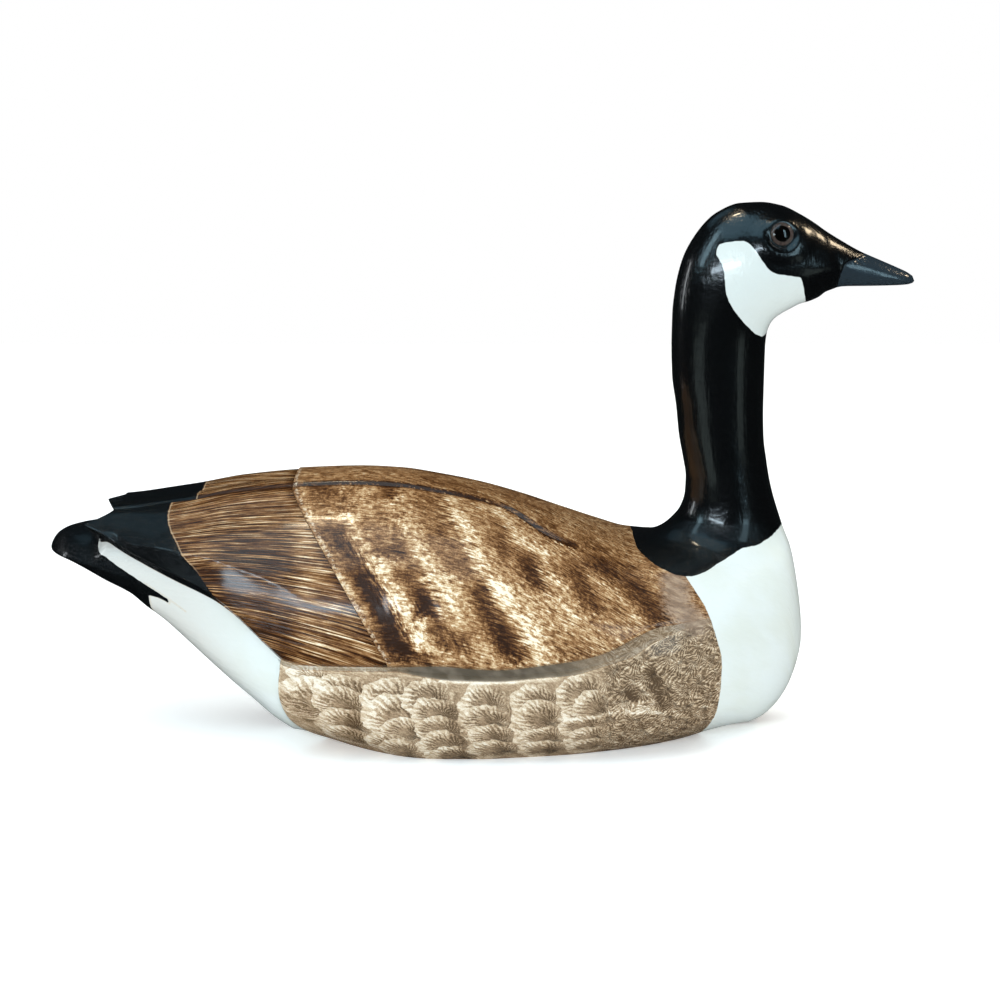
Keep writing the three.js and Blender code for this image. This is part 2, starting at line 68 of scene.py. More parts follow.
INNER_TOP = [
    (TAIL_TIP, TAIL_TIP_HEIGHT + 0.3), (-263, 117.3), (-260, 120.6), (-253.7, 124), (-244, 126.6),
    (-234, 128.4), (-228, 131.6), (-221, 136), (-203, 139.8), (-178, 143.2), (-147, 149), (-110, 152.6),
    (-73, 154), (-48, 153), (-24, 149.4), (1, 144.4), (26, 137.4), (51, 129.4), (76, 122.8), (93, 119.6),
    (110, 119.2), (140, 120.4), (170, 122.2), (186, 122.6), (188.8, 121.6), (192.7, 114.6), (197, 95.5),
    (200, 76), (BREAST_FRONT, BREAST_FRONT_HEIGHT + 0.2),
]
INNER_SQUARENESS = [(TAIL_TIP, 1.6), (-244, 1.45), (-233, 1.5), (-222, 2.1), (-200, 2.2)]
OUTER_SQUARENESS = 2.2
FLAT_HALF = [
    (-112, 0), (-107, 14), (-98, 31.5), (-84, 50), (-71, 62.5), (-58, 72), (-45, 79.5), (-33, 83.5),
    (-20, 85), (0, 85.2), (25, 82), (50, 77.5), (75, 70), (100, 59.5), (125, 43.5), (137.5, 31.5),
    (150.6, 17.5), (160, 7.5), (168, 0),
]
KEEL_REAR = [
    (TAIL_TIP, TAIL_TIP_HEIGHT - 0.8), (-262.4, 110), (-250, 107.4), (-242.5, 105), (-230.5, 100.3),
    (-218.5, 94), (-213, 91.2), (-207.5, 88), (-203, 83.4), (-199, 78.7), (-193, 72.6), (-184.7, 64.3),
    (-160, 41.2), (-147.6, 29.8), (-135.6, 19.4), (-123, 7.6), (-112, 0),
]
KEEL_FRONT = [
    (168, 0), (176, 3.4), (183, 9), (188, 14.8), (192.3, 21.6), (195.9, 30), (198.4, 38.6), (200.2, 47.4),
    (BREAST_FRONT, BREAST_FRONT_HEIGHT - 0.4),
]
WING_TIP, WING_TIP_FOOT = -237, -228
WING_NOTCH, WING_NOTCH_FOOT = -221, -218.5
GROOVE_END = 80
WING_EDGE_HEIGHT = [
    (WING_TIP, 133.6), (-224.5, 128.8), (-213.9, 122.5), (-203, 117.5), (-180, 108.8), (-155, 99.5),
    (-141.8, 91.3), (-131.8, 82.5), (-121.8, 73.1), (-111.9, 65), (-100, 62.6), (-51.4, 62.3), (-24, 63),
    (0, 61.2), (13, 60.6), (39, 63), (65, 66.7), (77, 69.8), (95, 77.2), (106, 81), (126, 83), (136, 84),
]
GROOVE_HALF = [
    (WING_TIP, 24), (WING_NOTCH, 26), (-180, 28), (-112, 29), (13, 29.5), (26, 36), (41, 46), (57, 50),
    (GROOVE_END, 52),
]
FLANK_TOP_HEIGHT = [
    (-107.5, 58.2), (-100, 60.6), (-71.7, 61), (-52.6, 60), (-34, 56), (-12, 53.4), (13, 52.8), (39, 54.9),
    (52, 55.6), (77, 61.1), (91, 65), (104, 72.5), (125, 79), (136, 80.5),
]
WING_FADE_START, WING_FADE_END = 90, 136
GROOVE_FADE_START, GROOVE_FADE_END = 40, 62
COVERT_EDGE_TOP, COVERT_EDGE_FOOT = -112, -52
FLANK_TOP_REAR = -100
COLUMN_LEAN = [
    (WING_TIP_FOOT, WING_TIP, WING_NOTCH), (-215, -219, -207), (-205, -206.5, -204), (-190, -190, -197),
    (-155, -155, -184), (-100, -100, -146), (COVERT_EDGE_FOOT, COVERT_EDGE_FOOT, COVERT_EDGE_TOP),
    (0, 0, -42), (60, 60, 50), (100, 100, 100), (180, 180, 180),
]
MM = 0.001


def through(points):
    """A smooth curve through (x, value) points that never overshoots, level past its ends."""
    xs = np.array([p[0] for p in points], float)
    values = np.array([p[1] for p in points], float)
    slopes = np.diff(values) / np.diff(xs)
    product = slopes[:-1] * slopes[1:]
    total = np.where(product > 0, slopes[:-1] + slopes[1:], 1)
    inner = np.where(product > 0, 2 * product / total, 0)
    tangents = np.concatenate([slopes[:1], inner, slopes[-1:]])

    def curve(x):
        x = np.clip(np.asarray(x, float), xs[0], xs[-1])
        i = np.clip(np.searchsorted(xs, x, side="right") - 1, 0, len(xs) - 2)
        width = xs[i + 1] - xs[i]
        t = (x - xs[i]) / width
        rise = t * t * (3 - 2 * t) * (values[i + 1] - values[i])
        bend = width * t * (1 - t) * ((1 - t) * tangents[i] - t * tangents[i + 1])
        return values[i] + rise + bend

    return curve


def mix(a, b, t):
    return a + (b - a) * t


def fade(start, end, x):
    t = np.clip((np.asarray(x, float) - start) / (end - start), 0, 1)
    return t * t * (3 - 2 * t)


widest_height = through(WIDEST_HEIGHT)
outer_half, outer_top = through(OUTER_HALF), through(OUTER_TOP)
inner_half, inner_top = through(INNER_HALF), through(INNER_TOP)
inner_squareness = through(INNER_SQUARENESS)
flat_half = through(FLAT_HALF)
keel_rear, keel_front = through(KEEL_REAR), through(KEEL_FRONT)
wing_edge_height = through(WING_EDGE_HEIGHT)
groove_half = through(GROOVE_HALF)
flank_top_height = through(FLANK_TOP_HEIGHT)
edge_lean = through([(foot, edge) for foot, edge, middle in COLUMN_LEAN])
middle_lean = through([(foot, middle) for foot, edge, middle in COLUMN_LEAN])


def keel(x):
    """The lowest point of a section, below the floor where the bird stands flat."""
    share = np.minimum(flat_half(x) / outer_half(x), 0.999)
    sunk = widest_height(x) * (1 - 1 / np.sqrt(1 - share * share))
    ends = np.where(x < 0, keel_rear(x), keel_front(x))
    return np.where(flat_half(x) < 0.01, ends, sunk)


def section(half, top, squareness, x, angle):
    """y and z on a section of the body: angle 0 is the top, a half turn the keel."""
    upper = angle <= math.pi / 2
    power = np.where(upper, 2 / squareness, 1)
    sine, cosine = np.abs(np.sin(angle)), np.abs(np.cos(angle))
    widest = widest_height(x)
    y = half * sine ** power
    rise = (top - widest) * cosine ** power
    drop = (widest - keel(x)) * cosine ** power
    return y, np.where(upper, widest + rise, widest - drop)


def body_point(x, angle, raised, extra):
    y0, z0 = section(inner_half(x), inner_top(x), inner_squareness(x), x, angle)
    y1, z1 = section(outer_half(x), outer_top(x), OUTER_SQUARENESS, x, angle)
    y = np.maximum(mix(y0, y1, raised) + extra * np.sin(angle), 0)
    return y, mix(z0, z1, raised) + extra * np.cos(angle)


def angle_of_height(x, z):
    share = np.clip((z - widest_height(x)) / (outer_top(x) - widest_height(x)), 0, 1)
    return np.arccos(share ** (OUTER_SQUARENESS / 2))


def angle_of_half(x, y):
    return np.arcsin(np.clip(y / outer_half(x), 0, 1) ** (OUTER_SQUARENESS / 2))


def wing_edge_angle(x):
    at = np.minimum(x, WING_FADE_END)
    return angle_of_height(at, wing_edge_height(at))


def groove_angle(x):
    at = np.minimum(x, GROOVE_END)
    return angle_of_half(at, groove_half(at))


COVE_WIDTH = 0.03


def flank_top_angle(x):
    at = np.clip(x, FLANK_TOP_REAR, WING_FADE_END)
    return np.maximum(angle_of_height(at, flank_top_height(at)), wing_edge_angle(x) + COVE_WIDTH)


FLANK_REAR_X, FLANK_REAR_ANGLE, FLANK_REAR_BEND, FLANK_REAR_SLOPE = -116, 1.75, 28, 2.2


def behind_flank(x, angle):
    """How far a point lies in front of the flank's rounded rear end."""
    return x - FLANK_REAR_X - FLANK_REAR_BEND * (angle - FLANK_REAR_ANGLE) ** 2


def flank_raised(x, angle):
    return fade(-FLANK_REAR_SLOPE, FLANK_REAR_SLOPE, behind_flank(x, angle))


# columns of the fine mesh, from the tail to the breast: close at both ends and on both sides of a step
TAIL_COLUMNS, FLIGHT_COLUMNS, COVERT_COLUMNS, BREAST_COLUMNS = 26, 106, 130, 20
CHEST_END = 176
WING_END_WIDTH, COVERT_EDGE_WIDTH = 0.5, 0.35
quarter = np.linspace(0, math.pi / 2, TAIL_COLUMNS + 1)[1:]
tail_t = 1 - np.cos(quarter)
tail_foot = mix(TAIL_TIP, WING_TIP_FOOT - WING_END_WIDTH, tail_t)
flight_foot = np.linspace(WING_TIP_FOOT, COVERT_EDGE_FOOT, FLIGHT_COLUMNS)
covert_foot = np.linspace(COVERT_EDGE_FOOT + COVERT_EDGE_WIDTH, CHEST_END, COVERT_COLUMNS)
breast_t = np.sin(np.linspace(0, math.pi / 2, BREAST_COLUMNS + 1)[1:-1])
breast_foot = mix(CHEST_END, BREAST_FRONT, breast_t)
foot = np.concatenate([tail_foot, flight_foot, covert_foot, breast_foot])
edge = np.concatenate([tail_foot, edge_lean(flight_foot), edge_lean(covert_foot), breast_foot])
tail_middle = mix(TAIL_TIP, WING_NOTCH_FOOT, tail_t)
middle = np.concatenate([tail_middle, middle_lean(flight_foot), middle_lean(covert_foot), breast_foot])
layer_of = np.repeat([0, 1, 2, 2], [TAIL_COLUMNS, FLIGHT_COLUMNS, COVERT_COLUMNS, BREAST_COLUMNS - 1])
foot, edge, middle, layer_of = (v[:, None] for v in (foot, edge, middle, layer_of))
is_wing = (layer_of > 0).astype(float)
is_flight = (layer_of == 1).astype(float)
is_covert = (layer_of == 2).astype(float)

# rows, from the middle of the back to the middle of the underside
CAPE_ROWS, GROOVE_ROWS, WING_ROWS, WALL_ROWS = 22, 6, 54, 3
COVE_ROWS, FLANK_ROWS, BELLY_ROWS, BASE_ROWS = 10, 28, 40, 4
GROOVE_HALF_WIDTH, WING_UNDERCUT, RIM_WIDTH = 0.03, 0.012, 0.02
GROOVE_DEPTH, FLIGHT_GROOVE_DEPTH = 2, 0.9
VALLEY_DEPTH, VALLEY_BEND, COVERT_STEP, LEAN_BEND, COVE_MIDDLE = 3.5, 1.5, 0.9, 1.4, 0.6
TAIL_EDGE = 3.6
RIM_REAR, RIM_FRONT = (-252, -222), (-204, -184)
WING_EDGE_ROUND = 0.7

groove = groove_angle(middle)
wing_edge = wing_edge_angle(edge)
flank_top = flank_top_angle(foot)
step = -COVERT_STEP * is_flight
filled = np.where(is_wing > 0, fade(WING_FADE_START, WING_FADE_END, foot), 0)


def rows(count, last=False):
    return (np.arange(count + last) / count)[None, :]


t = rows(CAPE_ROWS)
cape_angle = mix(0, groove - GROOVE_HALF_WIDTH, t)
cape_extra = step - is_flight * VALLEY_DEPTH * (1 - t) ** VALLEY_BEND
t = rows(GROOVE_ROWS)
across = mix(groove - GROOVE_HALF_WIDTH, groove + GROOVE_HALF_WIDTH, t)
depth = is_covert * GROOVE_DEPTH * (1 - fade(GROOVE_FADE_START, GROOVE_FADE_END, middle))
depth = depth + is_flight * FLIGHT_GROOVE_DEPTH
groove_extra = step - depth * (1 - np.abs(2 * t - 1))
t = rows(WING_ROWS, last=True)
wing_x = mix(middle, edge, t ** LEAN_BEND)
wing_angle = mix(groove + GROOVE_HALF_WIDTH, wing_edge, t)
wing_extra = step - is_wing * (1 - filled) * WING_EDGE_ROUND * np.clip((t - 0.95) / 0.05, 0, 1) ** 2
t = rows(WALL_ROWS)[:, 1:]
wall_x = mix(edge, foot, t)
wall_angle = wing_edge + WING_UNDERCUT * t
wall_raised = mix(is_wing, filled, t)
wall_extra = wing_extra[:, -1:] * (1 - t)
t = rows(COVE_ROWS)
cove_angle = mix(wing_edge_angle(foot) + WING_UNDERCUT, flank_top, t)
cove_raised = mix(filled, flank_raised(foot, flank_top), fade(COVE_MIDDLE, 1, t))
t = rows(FLANK_ROWS)
flank_angle = mix(flank_top, math.pi / 2, t)
widest, lowest = widest_height(foot), keel(foot)
BASE_EDGE_LIMIT = math.pi - 0.25
base_angle = np.arccos(np.clip(-widest / np.maximum(widest - lowest, 1), -1, 0))
base_angle = np.minimum(np.where(lowest < 0, base_angle, BASE_EDGE_LIMIT), BASE_EDGE_LIMIT)
t = rows(BELLY_ROWS)
belly_angle = mix(math.pi / 2 + RIM_WIDTH, base_angle, t)
t = rows(BASE_ROWS, last=True)
under_angle = mix(base_angle, math.pi, t)


def like(value, rows_of):
    """value spread over the columns and rows of another array."""
    return np.broadcast_to(value, np.broadcast_shapes(np.shape(value), rows_of.shape))


x = np.concatenate([like(middle, cape_angle), like(middle, across), wing_x, wall_x,
                    like(foot, cove_angle), like(foot, flank_angle), like(foot, belly_angle),
                    like(foot, under_angle)], axis=1)
angle = np.concatenate([cape_angle, across, wing_angle, wall_angle, cove_angle, flank_angle,
                        belly_angle, under_angle], axis=1)
raised = np.concatenate([like(is_wing, cape_angle), like(is_wing, across), like(is_wing, wing_x),
                         wall_raised, cove_raised, flank_raised(foot, flank_angle),
                         flank_raised(foot, belly_angle), flank_raised(foot, under_angle)], axis=1)
extra = np.concatenate([cape_extra, groove_extra, wing_extra, wall_extra,
                        like(0.0, cove_angle), like(0.0, flank_angle), like(0.0, belly_angle),
                        like(0.0, under_angle)], axis=1)
y, z = body_point(x, angle, raised, extra)
below_rim = like(np.arange(x.shape[1]) >= x.shape[1] - BELLY_ROWS - BASE_ROWS - 1, x)
rim_share = fade(*RIM_REAR, x) * (1 - fade(*RIM_FRONT, x))
z = z - below_rim * TAIL_EDGE * np.sin(angle) * rim_share
z = np.maximum(z, 0)
y[:, 0] = 0
y[:, -1] = 0

# The paint is laid out on the skin: girth is how far down from the middle of the back a point lies,
# and drop how far below the widest place. Bands of cream and dark brown follow the feather rows.
STATIONS, TURNS = 240, 181
station_x = np.linspace(TAIL_TIP, BREAST_FRONT, STATIONS)
turn_angle = np.linspace(0, math.pi, TURNS)
station_y, station_z = section(outer_half(station_x)[:, None], outer_top(station_x)[:, None],
                               OUTER_SQUARENESS, station_x[:, None], turn_angle[None, :])
lengths = np.hypot(np.diff(station_y), np.diff(station_z))
girth_table = np.concatenate([np.zeros((STATIONS, 1)), np.cumsum(lengths, axis=1)], axis=1)


def girth_of(x, angle):
    """Millimetres down the skin from the middle of the back."""
    i = np.clip((x - TAIL_TIP) / (station_x[1] - TAIL_TIP), 0, STATIONS - 1.001)
    j = np.clip(angle / turn_angle[1], 0, TURNS - 1.001)
    i0, j0 = i.astype(int), j.astype(int)
    u, v = i - i0, j - j0
    near = mix(girth_table[i0, j0], girth_table[i0, j0 + 1], v)
    far = mix(girth_table[i0 + 1, j0], girth_table[i0 + 1, j0 + 1], v)
    return mix(near, far, u)


girth = girth_of(x, angle)
drop = girth - girth_of(x, np.full_like(x, math.pi / 2))

# Bands and spots of the wing and the back, among them a painted highlight and the painted shadow
# and highlight of the groove: the line that each follows in (x, girth), its half width, and how much lighter or darker
# than the ground it is
WING_BANDS_AND_PAINTED_LIGHT = [
    ([(-106, 36), (-104, 50), (-99, 61)], 2.8, 0.3),
    # painted highlight: a golden glint of the varnish, laid on as a pale stroke
    ([(-99, 64.5), (-73, 64)], 1.7, 0.5),
    ([(-96, 36), (-86, 40)], 4, -0.3),
    ([(-95, 50), (-82, 50)], 6, -0.18),
    ([(-93, 72), (-84, 78)], 5, -0.14),
    ([(-93, 82), (-84, 92)], 1.6, 0.35),
    ([(-83, 104), (-77, 110), (-69, 121), (-62, 129)], 2.6, 0.42),
    ([(-82, 80), (-75, 88), (-66, 102), (-60, 116), (-53, 130), (-46, 146)], 6, -0.42),
    ([(-66, 110), (-56, 124), (-50, 134), (-46, 145)], 4.5, -0.4),
    ([(-74, 66), (-72, 76), (-67, 87), (-60, 97), (-52, 109), (-44, 123), (-37, 134), (-31, 143)], 3.4, 0.56),
    ([(-57, 98), (-45, 97)], 3.6, 0.36),
    ([(-46, 114), (-41, 124)], 5, 0.34),
    ([(-33, 130), (-31, 140)], 4.6, 0.5),
    ([(-70, 52), (-60, 42), (-76, 38)], 5, 0.14),
    ([(-54, 33), (-54, 43)], 4.5, -0.42),
    ([(-46, 47), (-50, 54)], 3, 0.24),
    ([(-68, 68), (-60, 78), (-44, 88)], 5, -0.14),
    ([(-58, 88), (-42, 91)], 2.6, -0.3),
    ([(-42, 64), (-38, 74), (-33, 86)], 4, 0.34),
    ([(-30, 92), (-24, 103), (-19, 111)], 4.4, 0.42),
    ([(-26, 103), (-4, 102)], 3.4, 0.26),
    ([(-41, 102), (-34, 110), (-29, 116)], 5, -0.34),
    ([(-31, 118), (-27, 121)], 4, -0.55),
    ([(-31, 122), (-38, 130)], 2, -0.5),
    ([(-20, 114), (-12, 120), (-14, 126)], 5, 0.42),
    ([(-10, 112), (-4, 118)], 4, 0.2),
    ([(-23, 134), (-8, 140)], 5, -0.36),
    ([(-6, 142), (4, 138), (10, 143)], 4, 0.34),
    ([(-40, 149), (-29, 150)], 3.2, -0.5),
    ([(-24, 148), (-18, 148)], 3, 0.34),
    ([(-28, 44), (-24, 62), (-17, 78), (-8, 93)], 6.5, -0.2),
    ([(-17, 30), (-15, 44), (-11, 57)], 3, 0.34),
    ([(-11, 57), (-6, 66), (-2, 77), (2, 88), (7, 96), (14, 104)], 4, 0.58),
    ([(14, 104), (22, 113), (30, 121), (35, 130)], 4.6, 0.52),
    ([(34, 124), (36, 133)], 5.5, 0.2),
    ([(2, 106), (6, 116), (11, 127), (17, 136)], 4.6, -0.56),
    ([(20, 126), (25, 138)], 4, -0.4),
    ([(9, 40), (18, 49), (23, 60), (31, 67), (44, 68)], 3.6, 0.36),
    ([(33, 68), (41, 76)], 3.5, 0.2),
    ([(13, 52), (15, 58)], 4, -0.24),
    ([(12, 70), (19, 75)], 5, -0.22),
    ([(31, 77), (31, 86), (35, 91)], 4.6, -0.55),
    ([(40, 86), (52, 88)], 2.4, 0.5),
    ([(46, 92), (56, 97)], 4, 0.16),
    ([(20, 98), (60, 105)], 6, 0.14),
    ([(50, 102), (58, 107)], 3, 0.22),
    ([(46, 128), (60, 124)], 4.5, -0.24),
    ([(57, 74), (62, 86), (66, 95)], 5.5, -0.34),
    ([(66, 76), (76, 80), (86, 87), (92, 93), (98, 98)], 2.8, 0.36),
    ([(51, 58), (60, 63)], 3.5, 0.2),
    ([(71, 62), (82, 66), (93, 73), (100, 82), (105, 92)], 6, -0.42),
    ([(97, 58), (106, 68)], 6, 0.12),
    # painted shadow along the carved groove between the back and the wing
    ([(19, 33), (31, 42), (42, 51), (57, 53)], 2.0, -0.6), ([(-105, 27.6), (-40, 27.6), (4, 28.6), (19, 33)], 0.9, -0.5),
    # painted highlight along the groove's upper edge
    ([(-10, 25.5), (12, 27), (26, 34), (38, 43), (50, 48)], 0.8, 0.16),
    ([(40, 36), (46, 38)], 4, -0.2),
    ([(66, 42), (74, 48)], 4, -0.22),
    ([(84, 55), (90, 57)], 3, -0.25),
    ([(-30, 12), (-8, 18)], 6, -0.2),
    ([(20, 10), (34, 14)], 6, -0.16),
]


def line_distance(px, py, points):
    """Distance from (px, py) to a line of points."""
    best = np.full(np.shape(px), 1e9)
    for (x0, y0), (x1, y1) in zip(points, points[1:]):
        dx, dy = x1 - x0, y1 - y0
        t = np.clip(((px - x0) * dx + (py - y0) * dy) / (dx * dx + dy * dy), 0, 1)
        best = np.minimum(best, np.hypot(px - x0 - t * dx, py - y0 - t * dy))
    return best


GROUND_TONE = through([(-240, 0.2), (-114, 0.2), (-100, 0.46), (-40, 0.5), (20, 0.51), (70, 0.44), (120, 0.41)])
CAPE_TONE, CAPE_TONE_END = 0.44, 50
LOW_FLIGHT_DARK, GROOVE_PAINTED_SHADE = 0.2, 0.3
LOW_LIGHT, BAND_WIDEN, LIGHT_SHARE, DARK_SHARE = 0.12, 1.35, 0.56, 0.84


def band_tone(px, py):
    """Lightness of the brown paint at (x, girth), painted highlight and shadow included: 0 dark, 1 cream."""
    cape = (1 - fade(26, 40, py)) * (1 - 0.5 * fade(CAPE_TONE_END, 110, px))
    total = mix(GROUND_TONE(px), CAPE_TONE, cape * is_covert)
    total = total + is_covert * LOW_LIGHT * fade(85, 118, py) * fade(5, 40, px)
    for points, half_width, strength in WING_BANDS_AND_PAINTED_LIGHT:
        away = line_distance(px, py, points) / (half_width * BAND_WIDEN)
        share = LIGHT_SHARE if strength > 0 else DARK_SHARE
        total = total + is_covert * strength * share * np.exp(-away ** 2)
    return total


tone = band_tone(x, girth)
tone = tone - is_flight * LOW_FLIGHT_DARK * fade(55, 105, girth)
# painted shade in the carved groove between the back and the wings
in_groove = (np.arange(x.shape[1]) >= CAPE_ROWS) & (np.arange(x.shape[1]) <= CAPE_ROWS + GROOVE_ROWS)
tone = tone - GROOVE_PAINTED_SHADE * in_groove[None, :] * (x < 60)
tone_along = (band_tone(x + 0.5, girth) - band_tone(x - 0.5, girth))
tone_down = (band_tone(x, girth + 0.5) - band_tone(x, girth - 0.5))
# where the strokes of the brush run steeply down to the front, and where they are short dabs
STEEP_LINES = [([(-82, 82), (-62, 108), (-42, 134)], 9), ([(-18, 138), (-12, 139)], 11), ([(-36, 124), (-30, 140)], 7)]
DAB_LINES = [([(-95, 40), (-70, 45)], 16), ([(-40, 45), (-45, 70)], 12), ([(-78, 110), (-66, 124)], 6)]
steep, dabs = np.zeros_like(x), np.zeros_like(x)
for points, reach_mm in STEEP_LINES:
    steep = np.maximum(steep, np.exp(-(line_distance(x, girth, points) / reach_mm) ** 4))
for points, reach_mm in DAB_LINES:
    dabs = np.maximum(dabs, np.exp(-(line_distance(x, girth, points) / reach_mm) ** 4))

# Borders of the paint, as fields in millimetres that are positive inside
row = np.arange(x.shape[1])[None, :]
last_wing_row = CAPE_ROWS + GROOVE_ROWS + WING_ROWS
first_cove_row = last_wing_row + WALL_ROWS
first_belly_row = first_cove_row + COVE_ROWS + FLANK_ROWS
wing_side = like(np.where(row < first_cove_row, 3.0, np.where(row == first_cove_row, 0.1, -3.0)), x)
wing_side = np.where(is_wing > 0, wing_side, -3.0)
TIP_PAINT = through([(92, -151), (100, -155), (107, -160), (114, -166), (120, -173), (127, -178), (132, -182),
                     (137, -185), (141, -186), (150, -185)])
CAPE_TIP_PAINT = -171
tip_paint = np.where(row < CAPE_ROWS + GROOVE_ROWS, CAPE_TIP_PAINT, TIP_PAINT(z)) - x
RUMP_WHITE_LOW = through([(-232, 121), (-229, 118.4), (-222, 113.6), (-211.7, 108.2), (-184.2, 95.2), (-150, 74.6)])
RUMP_WHITE_END, RUMP_WHITE_RADIUS = (-224.5, 120), 5.3
RIM_PAINT_END, UNDER_TAIL_END, UNDER_RIM_PAINT = -182, -195, 2.8
rump_white = np.minimum(z - RUMP_WHITE_LOW(x), x - RUMP_WHITE_END[0])
round_end = RUMP_WHITE_RADIUS - np.hypot(x - RUMP_WHITE_END[0], z - RUMP_WHITE_END[1])
rump_white = np.minimum(np.maximum(rump_white, round_end), y - 20)
below_edge = np.where(below_rim, (angle - math.pi / 2 - RIM_WIDTH) * outer_half(x), -TAIL_EDGE)
under_black = np.maximum(np.minimum(UNDER_RIM_PAINT - below_edge, RIM_PAINT_END - x), UNDER_TAIL_END - x)
tail_black = np.where(below_rim, under_black, np.minimum(-rump_white, RIM_PAINT_END + 10 - x))
NECK_PAINT_X = 150
NECK_PAINT_LOW = 92
NECK_PAINT = through([(0, 38.5), (42, 36.8), (73, 36.1), (84, 38.5), (96, 45), (104, 54), (112, 62), (120, 65.8),
                      (129, 66.5), (145, 63.8), (158, 58.4), (175, 54.5), (180, 54)])


def neck_paint(x, y, z):
    turn = np.degrees(np.arctan2(y, x - NECK_PAINT_X))
    return np.minimum(NECK_PAINT(turn) - np.hypot(x - NECK_PAINT_X, y), z - NECK_PAINT_LOW)


BREAST_PAINT = through([(0, 135.5), (26, 143.4), (55.8, 144.8), (76, 140), (89, 135), (101, 127), (112, 119)])
breast_white = x - BREAST_PAINT(z)
flank_front = behind_flank(x, angle)
neck_black = neck_paint(x, y, z)
black = np.maximum(np.maximum(np.minimum(wing_side, tip_paint), np.minimum(-wing_side, tail_black)), neck_black)
black = np.maximum(black, np.minimum(-195 - x, np.where(below_rim, under_black, -rump_white)))
white = np.maximum(np.minimum(-wing_side, -flank_front), breast_white)
below_flank_top = (angle - flank_top) * outer_half(x)
cove = np.minimum(-wing_side, -below_flank_top)
flank = np.minimum(np.minimum(-wing_side, flank_front), below_flank_top)
# how far in front of the coverts' rear edge, and the plain grey brown collar beside the breast
covert_edge = np.where(is_wing > 0, x - mix(COVERT_EDGE_TOP, COVERT_EDGE_FOOT, np.clip((angle - groove)
                       / np.maximum(wing_edge - groove, 0.05), 0, 1) ** LEAN_BEND), 99)
COLLAR_LINE = [(117, 66), (119, 84), (128, 92)]
collar = 9 - line_distance(x, girth, COLLAR_LINE)
# strokes of the brush: lengthwise on the flight feathers, spreading a little from the wing's tip, and
# slanting down to the front on the back
STROKE_SLANT = through([(-240, 0), (-112, 0), (-40, 6), (20, 20), (60, 40), (120, 84)])
FAN_START_X, FAN_START_GIRTH, FAN_SPREAD = -367, 50, 260
feather_side = (girth - FAN_START_GIRTH) * FAN_SPREAD / (x - FAN_START_X)
stroke_side = np.where(is_flight > 0, feather_side, girth - STROKE_SLANT(x) * np.clip(1.5 - girth / 110, 0.3, 1.3))

# Scallops of the flank: columns of small rounded feathers, each lying over the ones behind and above
# it. A fan is its middle in (x, drop) and its half length and half height.
fans = [
    (-103, 14, 15, 14), (-76, 22, 20, 30), (-49, 20, 20, 30), (-25, 20, 19, 30), (5, 20, 18.5, 30), (36, 22, 17, 30),
    (62, 24, 15, 28), (-96, -5, 14, 7), (-93, 11, 22, 17),
    (-77, 2, 19, 12), (-79, 9, 17, 12), (-77, 24, 16, 13), (-77, 41, 15, 14),
    (-49, 3, 18.5, 13), (-47, 16, 21, 17), (-43, 25, 13, 11), (-52, 40, 15, 12), (-45, 45, 13, 13),
    (-29, 2, 15, 12), (-25, 11, 14, 10.5), (-23, 22, 14, 10), (-20, 34, 14.5, 11), (-14, 44, 14, 9),
    (4, 4, 13.5, 11.5), (5, 15, 14.5, 10), (8, 27, 14, 9), (10, 39, 15, 9),
    (34, 4, 14, 12), (36, 14, 14, 12), (38, 29, 14, 9), (38, 41, 14, 9),
    (60, 0, 15, 13), (68, 8, 12, 11), (62, 21, 15, 8), (66, 31, 13, 9), (66, 42, 13, 9),
]
FLANK_SPOTS_AND_EDGE_HIGHLIGHT = [
    ([(48, 15), (62, 16), (80, 13.5), (95, 16), (111, 20)], 1.2, 0.36), ([(84, 10), (102, 13)], 3.5, 0.26),
    ([(88.5, 2), (92, 6)], 2.6, -0.58), ([(100, -10), (102, -8)], 2.4, -0.4), ([(104, -2), (108, 4), (110, 14)], 4.4, -0.28),
    # the first two lines, along the flank's top edge, are a painted highlight
    ([(-20, -9.5), (20, -9.5)], 2, 0.35), ([(20, -9), (46, -10)], 1.5, 0.25), ([(-100, -14), (-60, -16)], 3, 0.2),
    ([(-8, 36), (-14, 8)], 4, -0.2), ([(-40, 12), (-42, 30)], 4, 0.12), ([(-73, 16), (-72, 30)], 4, -0.2),
    ([(-108, -6), (-92, -2)], 6, 0.16), ([(-112, 14), (-98, 26)], 6, -0.24), ([(-58, 8), (-60, 22)], 6, 0.14), ([(-20, 45), (60, 46)], 5, -0.1),
]
fan_relief = np.zeros_like(x)
FAN_RISE = 0.34
for fan_x, fan_drop, half_length, half_height in fans:
    away = np.hypot((x - fan_x) / half_length, (drop - fan_drop) / half_height)
    lift = FAN_RISE * (1 - 0.9 * np.clip((x - fan_x) / half_length + 0.4, 0, 1))
    fan_relief = np.where(away < 1, lift * fade(0, 0.3, 1 - away), fan_relief)
flank_tone = np.zeros_like(x)
for points, half_width, strength in FLANK_SPOTS_AND_EDGE_HIGHLIGHT:
    flank_tone = flank_tone + strength * np.exp(-(line_distance(x, drop, points) / half_width) ** 4)

